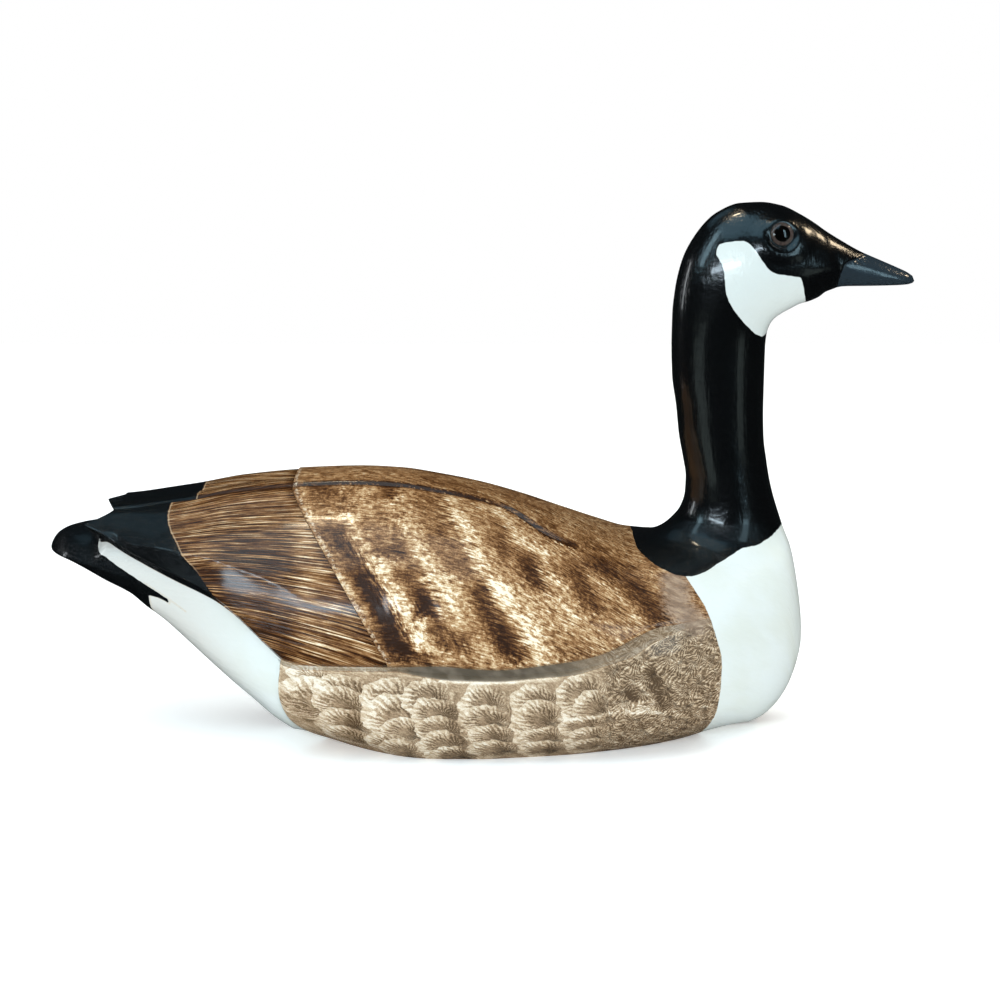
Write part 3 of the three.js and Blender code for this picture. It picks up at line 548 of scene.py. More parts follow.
# Low relief of the wing: a crease along each wing's tip feathers, and rows that swell a little
WING_CREASE = [(-216, 52), (-204, 64), (-191, 71), (-175, 80), (-162, 84), (-127, 101), (-110, 110), (-85, 124)]
CREASE_RISE, CREASE_REACH, BAND_SWELL = 2.0, 6, 0.8
crease = np.exp(-line_distance(x, girth, WING_CREASE) / CREASE_REACH) * fade(-222, -205, x) * (1 - fade(-130, -95, x))
relief = is_flight * CREASE_RISE * crease * (wing_side > 2)
below_crease = girth - np.interp(x, [spot[0] for spot in WING_CREASE], [spot[1] for spot in WING_CREASE])
BLADE_UNDERCUT = 3.2
undercut = np.clip(below_crease / 12, 0, 1) * (1 - fade(-175, -140, x)) * fade(-226, -216, x)
relief = relief - is_flight * BLADE_UNDERCUT * undercut * (wing_side > 2)
relief = relief + is_covert * (wing_side > 2) * BAND_SWELL * np.clip(tone - GROUND_TONE(x), -0.5, 0.5) * fade(30, 44, girth)
relief = relief + fan_relief * (flank > 0) * fade(0, 3, flank) * (1 - fade(66, 80, x))


def grid_normals(points):
    """Outward normals of a half grid of points."""
    along = np.gradient(points, axis=0)
    around = np.gradient(points, axis=1)
    normal = np.cross(along, around)
    length = np.maximum(np.linalg.norm(normal, axis=-1, keepdims=True), 1e-9)
    return normal / length


points = np.stack([x, y, z], axis=-1)
normals = grid_normals(points)
if normals[150, 60, 2] < 0:
    normals = -normals
points = points + normals * relief[..., None]
points[:, 0, 1] = 0
points[:, -1, 1] = 0
points[..., 1] = np.maximum(points[..., 1], 0)
points[..., 2] = np.maximum(points[..., 2], 0)


def mirrored_loft(half_rings, start_point, end_point):
    """Vertices and faces of a closed skin over half rings that are mirrored in y."""
    count, size = half_rings.shape[0], 2 * half_rings.shape[1] - 2
    right = half_rings * np.array([1, -1, 1])
    rings = np.concatenate([right, half_rings[:, -2:0:-1]], axis=1)
    vertices = np.concatenate([rings.reshape(-1, 3), [start_point, end_point]])
    here = np.arange(size)
    beside = (here + 1) % size
    level = (np.arange(count - 1) * size)[:, None]
    quads = np.stack([level + here, level + beside, level + beside + size, level + here + size], axis=-1)
    start, end, last = count * size, count * size + 1, (count - 1) * size
    caps = [(start, j, i) for i, j in zip(here, beside)]
    caps += [(end, last + i, last + j) for i, j in zip(here, beside)]
    return vertices, quads.reshape(-1, 4).tolist() + caps


def mirrored_values(half, start_value, end_value):
    rings = np.concatenate([half, half[:, -2:0:-1]], axis=1)
    return np.concatenate([rings.reshape(-1), [start_value, end_value]])


# The foot of the neck swells out of the body: a smooth hollow curve from the seat of the neck down to
# the skin of the back, the shoulders and the breast.
NECK_RINGS = [
    ((112, 104), (184, 104), 40, 0), ((108, 112), (186, 112), 39, 0), ((105, 119), (188.3, 119), 35.5, 0),
    ((114.5, 125.4), (188.3, 125.4), 31, 0), ((121.6, 130.5), (186.9, 130), 29, 0),
    ((125.4, 136), (184.9, 136), 27.8, 0), ((128, 145), (182.1, 145), 26.5, 0),
    ((128.4, 155), (179.7, 155), 25.5, 0), ((126.5, 167), (177.6, 167), 24.7, 0),
    ((123.8, 181), (175.7, 181), 24.2, 0), ((121.7, 199.5), (175.1, 199.5), 24, 0),
    ((119, 218), (175.2, 218), 24, 0), ((118.3, 238), (175.4, 236), 24.3, 0),
    ((118.5, 255), (176.3, 245), 25, 0.02), ((120, 271), (179.5, 252), 26, 0.06),
    ((124, 288.5), (184.5, 256), 27, 0.1), ((132, 304), (190, 259), 27.3, 0.14),
    ((143.9, 316.6), (195.5, 261.8), 26.6, 0.18), ((158.3, 322.6), (201.6, 263.6), 25.2, 0.2),
    ((171, 323.2), (207, 266), 23.4, 0.2), ((183, 321.3), (211, 269), 21.2, 0.18),
    ((194.7, 316), (215, 270.6), 18.6, 0.15), ((204, 310.4), (218.5, 271.8), 16.4, 0.12),
]
BILL_RINGS = [
    ((210, 306.2), (221.5, 272.3), 14.2, 0.1), ((219.3, 300.5), (226, 272.5), 12.8, 0.15),
    ((231.7, 293.6), (234, 272.6), 11.2, 0.2), ((244, 288.3), (245, 272.8), 9.9, 0.25),
    ((254.5, 283.8), (255, 273.1), 8.2, 0.25), ((260.5, 281), (261, 273.6), 6, 0.2),
    ((263.8, 278.8), (264, 274.4), 3.2, 0.1),
]
BILL_END = (265.2, 0, 275.6)
SEAT_RING = 4  # the ring that stands on the body's flat seat
ring_list = NECK_RINGS + BILL_RINGS
ring_parts = [[r[0][0], r[0][1], r[1][0], r[1][1], r[2], r[3]] for r in ring_list]
ring_curves = [through([(i, parts[k]) for i, parts in enumerate(ring_parts)]) for k in range(6)]
TURN_POINTS = 80


def neck_ring(place, turn_points=TURN_POINTS):
    """Half rings of the neck and head at places along its list of rings: x, y and z arrays."""
    back_x, back_z, front_x, front_z, half, low = (c(place)[:, None] for c in ring_curves)
    turn = np.linspace(0, math.pi, turn_points)[None, :]
    along = (1 - np.cos(turn)) / 2
    y = half * np.sin(turn) * (1 - low * np.cos(turn))
    return np.stack([mix(back_x, front_x, along), np.maximum(y, 0), mix(back_z, front_z, along)], axis=-1)


def back_height(x, y):
    """Height of the skin of the body over the floor, near the neck."""
    share = np.clip(y / outer_half(x), 0, 0.999) ** OUTER_SQUARENESS
    return widest_height(x) + (outer_top(x) - widest_height(x)) * (1 - share) ** (1 / OUTER_SQUARENESS)


FILLET_BACK, FILLET_SIDE, FILLET_FRONT = 27, 16, 5
FILLET_LEVELS, FILLET_PULL, FILLET_SINK = 28, 0.42, 0.04
seat = neck_ring(np.array([float(SEAT_RING)]))[0]
above = neck_ring(np.array([SEAT_RING + 0.15]))[0]
turn = np.linspace(0, math.pi, TURN_POINTS)
seat_middle, seat_reach = (seat[0, 0] + seat[-1, 0]) / 2, (seat[-1, 0] - seat[0, 0]) / 2
seat_half = ring_parts[SEAT_RING][4]
outward = np.stack([-np.cos(turn) * seat_half, np.sin(turn) * seat_reach], axis=-1)
outward = outward / np.linalg.norm(outward, axis=-1, keepdims=True)
reach = np.where(turn < math.pi / 2, mix(FILLET_SIDE, FILLET_BACK, np.cos(turn) ** 2),
                 mix(FILLET_SIDE, FILLET_FRONT, np.cos(turn) ** 2))
foot_xy = seat[:, :2] + outward * reach[:, None]
foot_z = back_height(foot_xy[:, 0], foot_xy[:, 1])
past_xy = foot_xy + outward * 0.5
slope = (back_height(past_xy[:, 0], past_xy[:, 1]) - foot_z) / 0.5
start_way = seat - above
start_way = start_way / np.linalg.norm(start_way, axis=-1, keepdims=True)
end_way = np.concatenate([-outward, -slope[:, None]], axis=-1)
end_way = end_way / np.linalg.norm(end_way, axis=-1, keepdims=True)
fillet_foot = np.concatenate([foot_xy, (foot_z - FILLET_SINK)[:, None]], axis=-1)
span = np.linalg.norm(fillet_foot - seat, axis=-1, keepdims=True) * FILLET_PULL
t = np.linspace(0, 1, FILLET_LEVELS)[:, None, None]
fillet = ((1 - t) ** 3 * fillet_foot + 3 * (1 - t) ** 2 * t * (fillet_foot + end_way * span)
          + 3 * (1 - t) * t ** 2 * (seat + start_way * span) + t ** 3 * seat)
fillet[:, 0, 1] = 0
fillet[:, -1, 1] = 0
# the skin of the body under this hollow curve is raised to follow it from just below
near_neck = (x > 85) & (x < BREAST_FRONT - 4) & (y < 60) & (angle < math.pi / 2)
here = points[near_neck]
from_seat = here[:, None, :2] - seat[None, :, :2]
tangent = np.gradient(seat[:, :2], axis=0)
beside = (from_seat * tangent).sum(axis=-1)
station = np.clip((beside >= 0).sum(axis=1) - 1, 0, TURN_POINTS - 2)
count = np.arange(len(here))
share = beside[count, station] / (beside[count, station] - beside[count, station + 1])
away = (from_seat * outward).sum(axis=-1)
heights = np.empty_like(away)
for i in range(TURN_POINTS):
    curve_away = ((fillet[::-1, i, :2] - seat[i, :2]) * outward[i]).sum(axis=-1)
    heights[:, i] = np.interp(away[:, i], curve_away, fillet[::-1, i, 2], right=-1e6)
raised_to = mix(heights[count, station], heights[count, station + 1], np.clip(share, 0, 1))
steepness = np.clip((raised_to - here[:, 2]) / 8, 0, 1)
raised_to = np.where(away[count, station] > -4, raised_to - 0.03 - 0.35 * steepness, -1e6)
here[:, 2] = np.maximum(here[:, 2], raised_to)
points[near_neck] = here
# END NUMPY


def solid_piece(name, vertices, faces, crease_degrees):
    """A mesh object, in metres, from vertices in millimetres."""
    mesh = bpy.data.meshes.new(name)
    mesh.from_pydata((vertices * MM).tolist(), [], faces)
    mesh.polygons.foreach_set("use_smooth", np.ones(len(mesh.polygons), bool))
    mesh.set_sharp_from_angle(angle=math.radians(crease_degrees))
    mesh.update()
    piece = bpy.data.objects.new(name, mesh)
    bpy.context.scene.collection.objects.link(piece)
    return piece


def lay_on(piece, name, values):
    """One number for each vertex, which the paint reads by name."""
    attribute = piece.data.attributes.new(name, "FLOAT", "POINT")
    attribute.data.foreach_set("value", np.asarray(values, np.float32))


body_fields = {
    "under": (like(np.where(row >= x.shape[1] - BASE_ROWS, 1.0, 0.0), x), 0, 0),
    "black": (black, 3, 3), "white": (white, -3, 3), "flank": (flank, -3, -3), "cove": (cove, -3, -3),
    "tone": (tone, 0.4, 0.4), "tone_along": (tone_along, 0, 0), "tone_down": (tone_down, 0, 0),
    "steep": (steep, 0, 0), "dabs": (dabs, 0, 0), "flank_tone": (flank_tone, 0, 0),
    "covert": (like(is_covert, x), 0, 0), "covert_edge": (covert_edge, 0, 0), "collar": (collar, 0, 0),
    "along": (x, TAIL_TIP, BREAST_FRONT), "across": (girth, 0, 0),
    "drop": (drop, 0, 0), "stroke_side": (stroke_side, 0, 0), "flight": (like(is_flight, x), 0, 0),
    "flank_edge": (np.minimum(below_flank_top, flank_front), 0, 0),
}
hull_vertices, hull_faces = mirrored_loft(points, (TAIL_TIP, 0, TAIL_TIP_HEIGHT), (BREAST_FRONT, 0, BREAST_FRONT_HEIGHT))
fillet_vertices, fillet_faces = mirrored_loft(fillet, (seat_middle, 0, 100), (seat_middle, 0, 129.6))
shift = len(hull_vertices)
fillet_faces = [tuple(i + shift for i in face) for face in fillet_faces]
body = solid_piece("carved_body", np.concatenate([hull_vertices, fillet_vertices]), hull_faces + fillet_faces, 38)
foot_x, foot_y, foot_z = fillet[..., 0], fillet[..., 1], fillet[..., 2]
fillet_angle = angle_of_half(foot_x, foot_y)
fillet_girth = girth_of(foot_x, fillet_angle)
fillet_fields = {
    "black": neck_paint(foot_x, foot_y, foot_z), "white": foot_x - BREAST_PAINT(foot_z),
    "tone": np.full_like(foot_x, 0.46), "along": foot_x, "across": fillet_girth,
    "stroke_side": fillet_girth - STROKE_SLANT(foot_x), "cove": np.full_like(foot_x, -3),
    "flank": np.full_like(foot_x, -3),
}
for name, (half, at_start, at_end) in body_fields.items():
    on_hull = mirrored_values(half, at_start, at_end)
    on_fillet = mirrored_values(fillet_fields.get(name, np.zeros_like(foot_x)), 3, 3)
    lay_on(body, name, np.concatenate([on_hull, on_fillet]))


def linear(red, green, blue):
    """A paint colour as the eye sees it, 0 to 255, in the renderer's own scale."""
    parts = [v / 255 for v in (red, green, blue)]
    return tuple(v / 12.92 if v <= 0.04045 else ((v + 0.055) / 1.055) ** 2.4 for v in parts) + (1,)


class PaintPot:
    """The nodes of one finish."""

    def __init__(self, name):
        self.material = bpy.data.materials.new(name)
        self.material.use_nodes = True
        self.tree = self.material.node_tree
        self.tree.nodes.clear()

    def put(self, kind, inputs=(), **settings):
        node = self.tree.nodes.new("ShaderNode" + kind)
        for key, value in settings.items():
            setattr(node, key, value)
        for key, value in dict(inputs).items():
            if isinstance(value, bpy.types.NodeSocket):
                self.tree.links.new(value, node.inputs[key])
            else:
                node.inputs[key].default_value = value
        return node

    def number(self, name):
        return self.put("Attribute", attribute_name=name).outputs["Fac"]

    def math(self, operation, a, b=0.0, c=0.0, clamp=False):
        node = self.put("Math", {0: a, 1: b, 2: c}, operation=operation, use_clamp=clamp)
        return node.outputs[0]

    def vector(self, x, y, z=0.0):
        return self.put("CombineXYZ", {0: x, 1: y, 2: z}).outputs[0]

    def noise(self, vector, scale, detail=3.0, roughness=0.55):
        inputs = {"Vector": vector, "Scale": scale, "Detail": detail, "Roughness": roughness}
        return self.put("TexNoise", inputs).outputs["Fac"]

    def swing(self, value, amount):
        """value, which is 0 to 1 about its middle, as plus or minus amount."""
        return self.math("MULTIPLY_ADD", value, 2 * amount, -amount)

    def ease(self, value, low, high, to_low=0.0, to_high=1.0):
        inputs = {"Value": value, "From Min": low, "From Max": high, "To Min": to_low, "To Max": to_high}
        return self.put("MapRange", inputs, interpolation_type="SMOOTHSTEP").outputs[0]

    def blend(self, share, first, second, mode="MIX"):
        node = self.put("Mix", {0: share, 6: first, 7: second}, data_type="RGBA", blend_type=mode)
        return node.outputs[2]

    def ramp(self, value, stops):
        node = self.put("ValToRGB", {0: value})
        elements = node.color_ramp.elements
        while len(elements) < len(stops):
            elements.new(0.5)
        for element, (place, colour) in zip(elements, stops):
            element.position = place
            element.color = colour
        return node.outputs[0]

    def finish(self, colour, bump, roughness, bump_distance, **shader):
        inputs = {"Base Color": colour, "Roughness": roughness, **shader}
        if bump is not None:
            bump_node = self.put("Bump", {"Height": bump, "Distance": bump_distance, "Strength": 1.0})
            inputs["Normal"] = bump_node.outputs[0]
        shader_node = self.put("BsdfPrincipled", inputs)
        output = self.put("OutputMaterial")
        self.tree.links.new(shader_node.outputs[0], output.inputs[0])
        return self.material


BROWNS = [
    (0.0, linear(48, 22, 2)), (0.18, linear(80, 45, 15)), (0.34, linear(110, 72, 36)), (0.5, linear(149, 106, 65)),
    (0.64, linear(179, 141, 98)), (0.82, linear(216, 187, 147)), (1.0, linear(243, 230, 204)),
]
FLANK_BROWNS = [
    (0.0, linear(88, 67, 46)), (0.25, linear(124, 101, 76)), (0.5, linear(171, 144, 114)),
    (0.75, linear(213, 191, 162)), (1.0, linear(240, 229, 211)),
]
WHITE_PAINT, WARM_WHITE, BLACK_PAINT = linear(216, 221, 219), linear(211, 215, 208), linear(5, 6, 7)

pot = PaintPot("feather_paint")
along, across, side = pot.number("along"), pot.number("across"), pot.number("stroke_side")
drop_at, steep_share, dab_share = pot.number("drop"), pot.number("steep"), pot.number("dabs")
is_left = pot.math("GREATER_THAN", pot.put("SeparateXYZ", {0: pot.put("TexCoord").outputs["Object"]}).outputs[1], 0.0)
apart = pot.math("MULTIPLY", is_left, 37.0)


def strokes(length, width, contrast, slope=0.0, detail=2.0):
    """Brush strokes of a length and a width in millimetres, -1 to 1."""
    down = pot.math("SUBTRACT", side, pot.math("MULTIPLY", along, slope)) if slope else side
    spread = pot.vector(pot.math("MULTIPLY", along, 1 / length), pot.math("MULTIPLY", down, 1 / width), apart)
    return pot.ease(pot.noise(spread, 1.0, detail, 0.6), 0.5 - contrast, 0.5 + contrast, -1.0, 1.0)


level_hair = strokes(9, 1.5, 0.2)
fine_hair = strokes(6, 1.05, 0.2, detail=1.0)
steep_hair = strokes(3.2, 3.4, 0.2, 1.35)
dabbed = pot.ease(pot.noise(pot.vector(pot.math("MULTIPLY", along, 0.42), pot.math("MULTIPLY", side, 0.36), apart),
                            1.0, 3.0, 0.65), 0.3, 0.7, -1.0, 1.0)
cloud = pot.ease(pot.noise(pot.vector(pot.math("MULTIPLY", along, 0.1), pot.math("MULTIPLY", side, 0.13), apart),
                           1.0, 2.0, 0.5), 0.28, 0.72, -1.0, 1.0)


def mixed(share, first, second):
    return pot.put("Mix", {0: share, 2: first, 3: second}, data_type="FLOAT").outputs[0]


hair = mixed(dab_share, mixed(steep_share, level_hair, steep_hair), dabbed)
grain = pot.ease(pot.noise(pot.vector(pot.math("MULTIPLY", along, 0.9), pot.math("MULTIPLY", side, 1.1), apart),
                           1.0, 3.0, 0.7), 0.3, 0.7, -1.0, 1.0)
mottle = pot.ease(pot.noise(pot.vector(pot.math("MULTIPLY", along, 0.24), pot.math("MULTIPLY", side, 0.3), apart),
                            1.0, 2.0, 0.6), 0.3, 0.7, -1.0, 1.0)
# the strokes carry the edges of the bands back and forth, so that each edge is ragged, and the bands
# themselves are broken into patches
edge_along = pot.math("MULTIPLY", pot.number("tone_along"), pot.math("MULTIPLY", hair, 2.8))
edge_down = pot.math("MULTIPLY", pot.number("tone_down"), pot.math("MULTIPLY", dabbed, 2.4))
brown_tone = pot.math("ADD", pot.number("tone"), pot.math("ADD", edge_along, edge_down))
brown_tone = pot.math("MULTIPLY_ADD", pot.math("SUBTRACT", brown_tone, 0.5), pot.math("MULTIPLY_ADD", mottle, 0.4, 0.9), 0.5)
front_dabs = pot.ease(along, -20.0, 50.0, 0.06, 0.15)
for marks, depth in ((hair, 0.1), (fine_hair, 0.13), (cloud, 0.08), (mottle, 0.11), (grain, 0.12), (dabbed, front_dabs)):
    brown_tone = pot.math("MULTIPLY_ADD", marks, depth, brown_tone)
# the flight feathers: dark brown, combed lengthwise with thin light lines, with painted shade just behind the coverts'
# rear edge
comb_long = strokes(50, 2.2, 0.2)
comb_line = pot.ease(strokes(36, 0.85, 0.18, detail=1.0), 0.1, 1.0)
comb_dark = strokes(40, 1.0, 0.16, detail=1.0)
# painted shade on the flight feathers just behind the coverts' raised rear edge
under_shade = pot.ease(pot.number("covert_edge"), -7.0, -0.5, 0.0, -0.18)
flight_tone = pot.math("ADD", pot.number("tone"), under_shade)
for marks, depth in ((comb_long, 0.12), (comb_line, 0.42), (comb_dark, 0.19), (fine_hair, 0.08), (cloud, 0.05), (grain, 0.05)):
    flight_tone = pot.math("MULTIPLY_ADD", marks, depth, flight_tone)
covert_share = pot.number("covert")
colour = pot.ramp(mixed(covert_share, flight_tone, brown_tone), BROWNS)
# crumbs of cream along the rear edge of the coverts, partly a painted highlight on the carved step there
to_edge = pot.math("ADD", pot.number("covert_edge"), pot.math("MULTIPLY", fine_hair, 0.6))
rim_cream_and_highlight = pot.ease(pot.math("ABSOLUTE", pot.math("SUBTRACT", to_edge, 1.6)), 1.5, 0.3)
rim_cream_and_highlight = pot.math("MULTIPLY", rim_cream_and_highlight, pot.ease(dabbed, -0.2, 0.5))
colour = pot.blend(pot.math("MULTIPLY", rim_cream_and_highlight, 0.6), colour, linear(216, 198, 172))

# the comb marks of the flank's fans spread from a root in front of each
wander = [pot.swing(pot.noise(pot.vector(along, drop_at, place), 0.16, 2.0, 0.5), 3.4) for place in (3.0, 11.0)]
spot = pot.vector(pot.math("ADD", along, wander[0]), pot.math("ADD", drop_at, wander[1]))
fan_place = pot.vector(-2.0, 0.0)
for fan_x, fan_drop, half_length, half_height in fans:
    size = (1 / half_length, 1 / half_height, 0)
    start = (-fan_x / half_length, -fan_drop / half_height, 0)
    local = pot.put("VectorMath", {0: spot, 1: size, 2: start}, operation="MULTIPLY_ADD").outputs[0]
    length = pot.put("VectorMath", {0: local}, operation="LENGTH").outputs["Value"]
    inside = pot.math("LESS_THAN", length, 1.0)
    fan_place = pot.put("Mix", {0: inside, 4: fan_place, 5: local}, data_type="VECTOR").outputs[1]
fan_reach = pot.put("VectorMath", {0: fan_place}, operation="LENGTH").outputs["Value"]
from_root = pot.put("SeparateXYZ", {0: pot.put("VectorMath", {0: fan_place, 1: (-0.55, -0.35, 0)}, operation="ADD").outputs[0]})
fan_turn = pot.math("ARCTAN2", from_root.outputs[1], from_root.outputs[0])
comb_bend = pot.swing(pot.noise(spot, 0.3, 2.0, 0.6), 2.8)
comb = pot.math("SINE", pot.math("ADD", pot.math("MULTIPLY", fan_turn, 36.0), comb_bend))
comb = pot.math("ADD", pot.ease(comb, -0.5, 0.5, -1.0, 0.6), pot.math("MULTIPLY", grain, 0.5))
near_rim = pot.ease(fan_reach, 0.35, 0.9)
# painted shadow: each fan darkens toward its front, under the rim of the fan that lies over it
fan_front_painted_shadow = pot.ease(pot.put("SeparateXYZ", {0: fan_place}).outputs[0], -0.3, 0.85)
column_tone = pot.math("MULTIPLY_ADD", near_rim, 0.36, 0.42)
column_tone = pot.math("SUBTRACT", column_tone, pot.math("MULTIPLY", fan_front_painted_shadow, 0.3))
column_tone = mixed(pot.math("GREATER_THAN", fan_reach, 1.5), column_tone, 0.56)
comb_share = pot.math("MULTIPLY", pot.ease(fan_reach, 0.15, 0.5), pot.ease(fan_reach, 1.0, 0.66, 0.3, 1.0))
comb_depth = pot.math("MULTIPLY_ADD", comb_share, 0.17, 0.03)
column_tone = pot.math("ADD", column_tone, pot.math("MULTIPLY", comb, comb_depth))
# in front of the fans the combing is fine and runs every way
tufts = pot.put("TexVoronoi", {"Vector": spot, "Scale": 0.1, "Randomness": 1.0}, voronoi_dimensions="2D")
tuft_place = pot.put("VectorMath", {0: spot, 1: tufts.outputs["Position"]}, operation="SUBTRACT").outputs[0]
tuft_parts = pot.put("SeparateXYZ", {0: tuft_place}).outputs
tuft_turn = pot.math("ARCTAN2", pot.math("ADD", tuft_parts[1], 3.0), pot.math("ADD", tuft_parts[0], -4.0))
swirl_comb = pot.math("SINE", pot.math("ADD", pot.math("MULTIPLY", tuft_turn, 24.0), comb_bend))
swirl_comb = pot.ease(swirl_comb, -0.5, 0.5, -1.0, 0.9)
swirl_tone = pot.math("MULTIPLY_ADD", swirl_comb, 0.18, 0.35)
for marks, depth in ((mottle, 0.12), (grain, 0.12), (cloud, 0.06)):
    swirl_tone = pot.math("MULTIPLY_ADD", marks, depth, swirl_tone)
front_share = pot.ease(pot.math("ADD", along, pot.math("MULTIPLY", fine_hair, 3.0)), 68.0, 80.0)
flank_tone = mixed(front_share, column_tone, swirl_tone)
flank_tone = pot.math("ADD", flank_tone, pot.number("flank_tone"))
for marks, depth in ((fine_hair, 0.07), (cloud, 0.06), (mottle, 0.07), (grain, 0.08)):
    flank_tone = pot.math("MULTIPLY_ADD", marks, depth, flank_tone)
# painted highlight along the flank's top edge, where it turns up to the light
flank_edge_painted_highlight = pot.ease(pot.number("flank_edge"), 0.3, 1.8, 0.12, 0.0)
flank_tone = pot.math("ADD", flank_tone, flank_edge_painted_highlight)
flank_colour = pot.ramp(flank_tone, FLANK_BROWNS)
flank_share = pot.ease(pot.math("MAXIMUM", pot.number("flank"), pot.number("cove")), -0.2, 0.4)
colour = pot.blend(flank_share, colour, flank_colour)
# the hollow under the wing is a grey brown, darkened with painted shade under the wing's edge, warmer in front, and
# runs out before the flight feathers
cove_colour_and_shade = pot.blend(pot.ease(cloud, -1.0, 1.0), linear(96, 85, 70), linear(124, 111, 95))
cove_colour_and_shade = pot.blend(pot.ease(along, 40.0, 95.0), cove_colour_and_shade, linear(112, 91, 68))
cove_share = pot.math("MULTIPLY", pot.ease(pot.number("cove"), -0.3, 0.5), pot.ease(along, -52.0, -34.0))
cove_share = pot.math("MULTIPLY", cove_share, pot.ease(along, 35.0, 80.0, 1.0, 0.62))
colour = pot.blend(cove_share, colour, cove_colour_and_shade)
collar_share = pot.ease(pot.math("ADD", pot.number("collar"), pot.math("MULTIPLY", dabbed, 2.6)), -4.0, 6.0, 0.0, 0.75)
collar_colour = pot.blend(pot.ease(cloud, -1.0, 1.0), linear(138, 116, 98), linear(168, 146, 126))
colour = pot.blend(collar_share, colour, collar_colour)
wobble = pot.swing(pot.noise(pot.vector(pot.math("MULTIPLY", along, 0.3), pot.math("MULTIPLY", across, 0.3)), 1.0), 0.5)
white_field = pot.math("ADD", pot.number("white"), wobble)
grime = pot.noise(pot.vector(pot.math("MULTIPLY", along, 0.03), pot.math("MULTIPLY", across, 0.03), apart), 1.0, 3.0)
white_colour = pot.blend(pot.ease(grime, 0.3, 0.7), WHITE_PAINT, WARM_WHITE)
# painted shade: the white is darker and greyer towards the tail
white_colour = pot.blend(pot.ease(along, -105.0, -180.0), white_colour, linear(200, 198, 192))
colour = pot.blend(pot.ease(white_field, -0.2, 0.2), colour, white_colour)
# the flat underside is one plain coat
base_colour = pot.blend(pot.ease(grime, 0.3, 0.7), linear(104, 88, 72), linear(122, 105, 87))
colour = pot.blend(pot.number("under"), colour, base_colour)
# a thin cream line where the brown meets the black of the wing tips
black_field = pot.math("ADD", pot.number("black"), wobble)
outline = pot.ease(pot.math("ABSOLUTE", pot.math("ADD", black_field, 0.7)), 0.6, 0.1)
outline = pot.math("MULTIPLY", outline, pot.math("MULTIPLY", pot.ease(along, -160.0, -172.0), pot.ease(along, -200.0, -196.0)))
colour = pot.blend(pot.math("MULTIPLY", outline, pot.math("MULTIPLY", pot.number("flight"), 0.45)), colour, linear(196, 172, 140))
black_share = pot.ease(black_field, -0.15, 0.15)
colour = pot.blend(black_share, colour, BLACK_PAINT)
not_flank = pot.math("SUBTRACT", 1.0, pot.ease(pot.number("flank"), -0.2, 0.4))
bump = pot.math("ADD", pot.math("MULTIPLY", hair, 0.5), pot.math("MULTIPLY", fine_hair, 0.35))
bump = mixed(pot.number("flight"), bump, pot.math("MULTIPLY", comb_long, 0.9))
bump = pot.math("MULTIPLY", bump, not_flank)
flank_bump = mixed(front_share, pot.math("MULTIPLY", comb, 1.2), pot.math("MULTIPLY", swirl_comb, 1.3))
bump = pot.math("ADD", bump, pot.math("MULTIPLY", flank_bump, pot.ease(pot.number("flank"), 0.0, 1.5)))
smooth_share = pot.math("MAXIMUM", black_share, pot.ease(white_field, -0.2, 0.2))
brush_marks = pot.math("MULTIPLY", pot.math("ADD", grain, fine_hair), pot.math("MULTIPLY", black_share, 0.4))
bump = mixed(smooth_share, bump, pot.math("MULTIPLY_ADD", cloud, 0.8, brush_marks))
roughness = mixed(black_share, mixed(pot.number("flight"), 0.38, 0.27), 0.2)
feather_paint = pot.finish(colour, bump, roughness, 0.00012, **{"Specular IOR Level": 0.3, "Coat Weight": 0.4, "Coat Roughness": 0.12})
body.data.materials.append(feather_paint)
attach(body, "root")
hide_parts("body")

# The head and neck. Carved from one block with the bill, glued on the seat of the body and painted
# black, with a white patch over each cheek and a slate bill.
HEAD_RINGS = 300
places = np.concatenate([np.linspace(SEAT_RING, 22, 210), np.linspace(22, len(ring_list) - 1, 91)[1:]])
head_points = neck_ring(places)
EYE_CENTRE = np.array([181.4, 21, 305.4])
EYE_AXIS = np.array([0.16, 1, 0.3])
EYE_AXIS = EYE_AXIS / np.linalg.norm(EYE_AXIS)
LID_CENTRE, LID_LENGTH, LID_HEIGHT, LID_RISE = (182.8, 303.6), 18.1, 14, 1.5
SOCKET_RADIUS, SOCKET_DEPTH = 9, 0.55
LORE_CENTRE, LORE_LENGTH, LORE_HEIGHT, LORE_RISE = (208.5, 283), 10, 8.5, 0.8
NOSTRIL_CENTRE, NOSTRIL_LENGTH, NOSTRIL_HEIGHT, NOSTRIL_DEPTH = (229.5, 288), 4.2, 1.3, 0.8
NOSTRIL_SLOPE = -0.45
BILL_STEP, BILL_STEP_END = 0.9, 26
BILL_PAINT = through([(268, 217), (275.6, 217.4), (280, 218.2), (284, 219.6), (286.2, 220.2), (288, 222.5),
                      (289.5, 227), (291, 232), (294, 236), (301, 238)])
hx, hy, hz = (head_points[..., k] for k in range(3))
# a lid swells round the eye, with the socket sunk inside it; the lores bulge behind the bill's base
lid = np.hypot((hx - LID_CENTRE[0]) / LID_LENGTH, (hz - LID_CENTRE[1]) / LID_HEIGHT)
from_eye = np.hypot(hx - EYE_CENTRE[0], hz - EYE_CENTRE[2])
lore = np.hypot((hx - LORE_CENTRE[0]) / LORE_LENGTH, (hz - LORE_CENTRE[1]) / LORE_HEIGHT)
nostril = np.hypot((hx - NOSTRIL_CENTRE[0]) / NOSTRIL_LENGTH,
                   (hz - NOSTRIL_CENTRE[1] - NOSTRIL_SLOPE * (hx - NOSTRIL_CENTRE[0])) / NOSTRIL_HEIGHT)
head_slate = hx - BILL_PAINT(hz)
swell = LID_RISE * (1 - fade(0.7, 1.25, lid))
swell = swell + LORE_RISE * (1 - fade(0.2, 1.1, lore)) * (1 - fade(-1.5, 0.5, head_slate))
